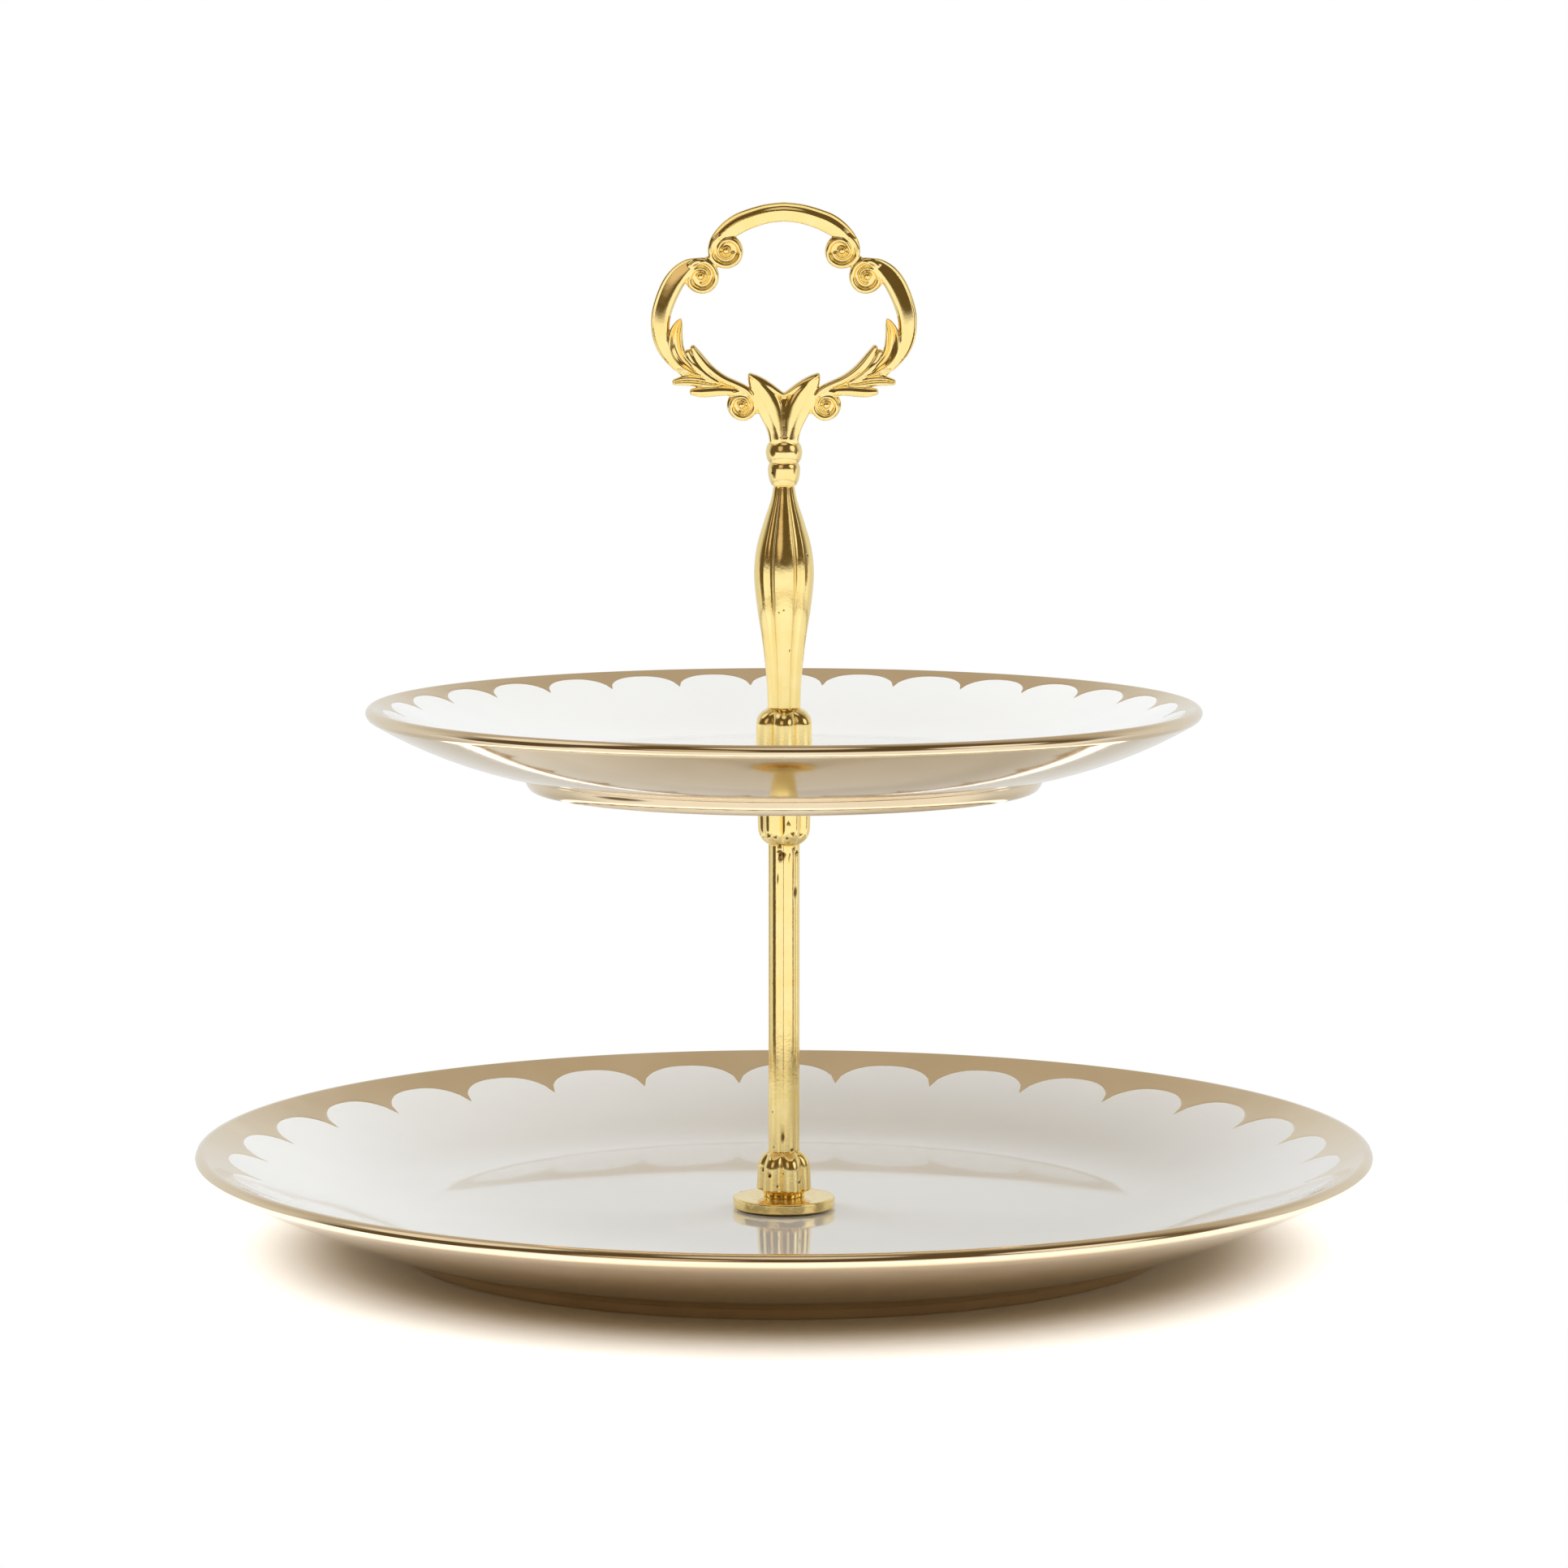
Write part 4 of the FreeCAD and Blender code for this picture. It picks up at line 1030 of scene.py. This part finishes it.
# painted shadow: the darker beige the table is coloured under the stand, inside where the glow begins
PAINTED_SHADOW_UNDER_STAND = (0.72, 0.66, 0.56)

WHITE = (1.0, 1.0, 1.0)
LIT_SWEEP = (1.12, 1.11, 1.09)
PALE_WALL = (0.80, 0.80, 0.78)
WARM_CEILING = (0.56, 0.49, 0.39)
TABLE_BEHIND = (0.64, 0.63, 0.60)
DARK_ROOM = (0.13, 0.09, 0.04)
# direction, half width and soft edge in degrees, colour
STUDIO_PATCHES = (
    ((-1.0, -0.22, 0.0), 17, 8, DARK_ROOM),
    ((1.0, -0.15, 0.0), 8, 6, (0.25, 0.18, 0.09)),
    ((-0.36, -0.80, 0.40), 9, 9, (0.80, 0.64, 0.48)),
    ((0.80, -0.45, 0.40), 12, 8, (1.15, 1.1, 1.0)),
    ((-0.62, 0.10, 0.80), 12, 8, (1.0, 0.96, 0.88)),
    ((0.0, -0.30, 0.95), 10, 8, (0.85, 0.80, 0.70)),
)

LAMP_COLOUR = (0.88, 0.94, 1.0)
CAMERA_PLACE = (0, -1.2096, 0.23656)
CAMERA_DOWN_DEG = 6.225
CAMERA_LENS = 123.55


def add_floor():
    """A pale table top that glows softly beyond the stand, like a lit sweep, with a painted shadow of darker
    beige under the stand.
    """
    paint = Paint("studio_floor", Roughness=0.9)
    reach = paint.node("VectorMath", operation="LENGTH")
    paint.link(paint.place, reach.inputs[0])
    glow = paint.node("MapRange", interpolation_type="SMOOTHSTEP")
    glow.inputs["From Min"].default_value = GLOW_START
    glow.inputs["From Max"].default_value = GLOW_FULL
    paint.link(reach.outputs["Value"], glow.inputs["Value"])
    paint.link(glow.outputs["Result"], paint.shader.inputs["Emission Strength"])
    pale = paint.ramp(paint.noise(3, 2), (0.3, (0.90, 0.90, 0.90)), (0.7, (0.93, 0.93, 0.93)))
    # painted shadow: darker beige under the stand, pale where the glow is full
    paint.colour(paint.mix(glow.outputs["Result"], PAINTED_SHADOW_UNDER_STAND, pale))
    paint.shader.inputs["Emission Color"].default_value = (0.8, 0.8, 0.8, 1)
    sides = 96
    angle = np.linspace(0, 2 * math.pi, sides, endpoint=False)
    points = np.stack([FLOOR_R * np.cos(angle), FLOOR_R * np.sin(angle), 0 * angle], 1)
    add_mesh("studio_floor", points, [tuple(range(sides))], [paint.material])


def add_world():
    """A white surround for the camera, and a studio for light and reflections: a lit sweep below a
    dark room in front, a table, a pale wall and a warm ceiling behind, and patches over them."""
    world = bpy.data.worlds.new("studio")
    bpy.context.scene.world = world
    world.use_nodes = True
    tree = world.node_tree
    place = tree.nodes.new("ShaderNodeTexCoord").outputs["Generated"]

    def node(kind, **values):
        made = tree.nodes.new(f"ShaderNode{kind}")
        for name, value in values.items():
            setattr(made, name, value)
        return made

    def mixed(share, first, second):
        mix = node("Mix", data_type="RGBA")
        tree.links.new(share, mix.inputs["Factor"])
        for socket, source in ((mix.inputs[6], first), (mix.inputs[7], second)):
            if isinstance(source, tuple):
                socket.default_value = (*source, 1)
            else:
                tree.links.new(source, socket)
        return mix.outputs[2]

    def between(value, low, high):
        ramp = node("MapRange", interpolation_type="SMOOTHSTEP")
        ramp.inputs["From Min"].default_value = low
        ramp.inputs["From Max"].default_value = high
        tree.links.new(value, ramp.inputs["Value"])
        return ramp.outputs["Result"]

    def patch(direction, wide_deg, soft_deg):
        """1 round a direction, 0 away from it."""
        dot = node("VectorMath", operation="DOT_PRODUCT")
        tree.links.new(place, dot.inputs[0])
        dot.inputs[1].default_value = Vector(direction).normalized()
        outer, inner = (math.cos(math.radians(a)) for a in (wide_deg + soft_deg, wide_deg))
        return between(dot.outputs["Value"], outer, inner)

    split = node("SeparateXYZ")
    tree.links.new(place, split.inputs[0])
    height, depth = split.outputs["Z"], split.outputs["Y"]
    behind = mixed(between(height, -0.5, -0.2), TABLE_BEHIND, PALE_WALL)
    behind = mixed(between(height, 0.25, 0.75), behind, WARM_CEILING)
    ahead = mixed(between(height, -0.02, 0.09), LIT_SWEEP, DARK_ROOM)
    colour = mixed(between(depth, -0.1, 0.45), ahead, behind)
    for direction, wide, soft, value in STUDIO_PATCHES:
        colour = mixed(patch(direction, wide, soft), colour, value)
    lit = tree.nodes["Background"]
    tree.links.new(colour, lit.inputs["Color"])
    surround = node("Background")
    surround.inputs["Color"].default_value = (*WHITE, 1)
    seen = node("LightPath").outputs["Is Camera Ray"]
    shader = node("MixShader")
    tree.links.new(seen, shader.inputs["Fac"])
    tree.links.new(lit.outputs[0], shader.inputs[1])
    tree.links.new(surround.outputs[0], shader.inputs[2])
    tree.links.new(shader.outputs[0], tree.nodes["World Output"].inputs["Surface"])


def add_lamp(name, place, aim, size, watts):
    """A softbox that lights but doesn't show in reflections. Places and sizes are in metres."""
    light = bpy.data.lights.new(name, "AREA")
    light.shape = "RECTANGLE"
    light.size, light.size_y = size
    light.energy = watts
    light.color = LAMP_COLOUR
    lamp = bpy.data.objects.new(name, light)
    lamp.location = place
    lamp.rotation_euler = (Vector(aim) - Vector(place)).to_track_quat("-Z", "Y").to_euler()
    lamp.visible_glossy = False
    bpy.context.scene.collection.objects.link(lamp)


def add_camera():
    data = bpy.data.cameras.new("camera")
    data.lens = CAMERA_LENS
    data.sensor_width = 36
    camera = bpy.data.objects.new("camera", data)
    camera.location = CAMERA_PLACE
    camera.rotation_euler = (math.radians(90 - CAMERA_DOWN_DEG), 0, 0)
    bpy.context.scene.collection.objects.link(camera)
    bpy.context.scene.camera = camera


add_floor()
add_world()
add_lamp("top_softbox", place=(-0.1, -0.14, 0.8), aim=(0, 0, 0.1), size=(0.5, 0.4), watts=3.9)
add_lamp("right_softbox", place=(1.1, 0.65, 0.60), aim=(0, 0, 0.05), size=(0.8, 0.7), watts=6.5)
add_lamp("left_softbox", place=(-1.1, 0.60, 0.60), aim=(0, 0, 0.05), size=(0.8, 0.7), watts=7.5)
add_camera()
bpy.context.scene.view_settings.view_transform = "Standard"
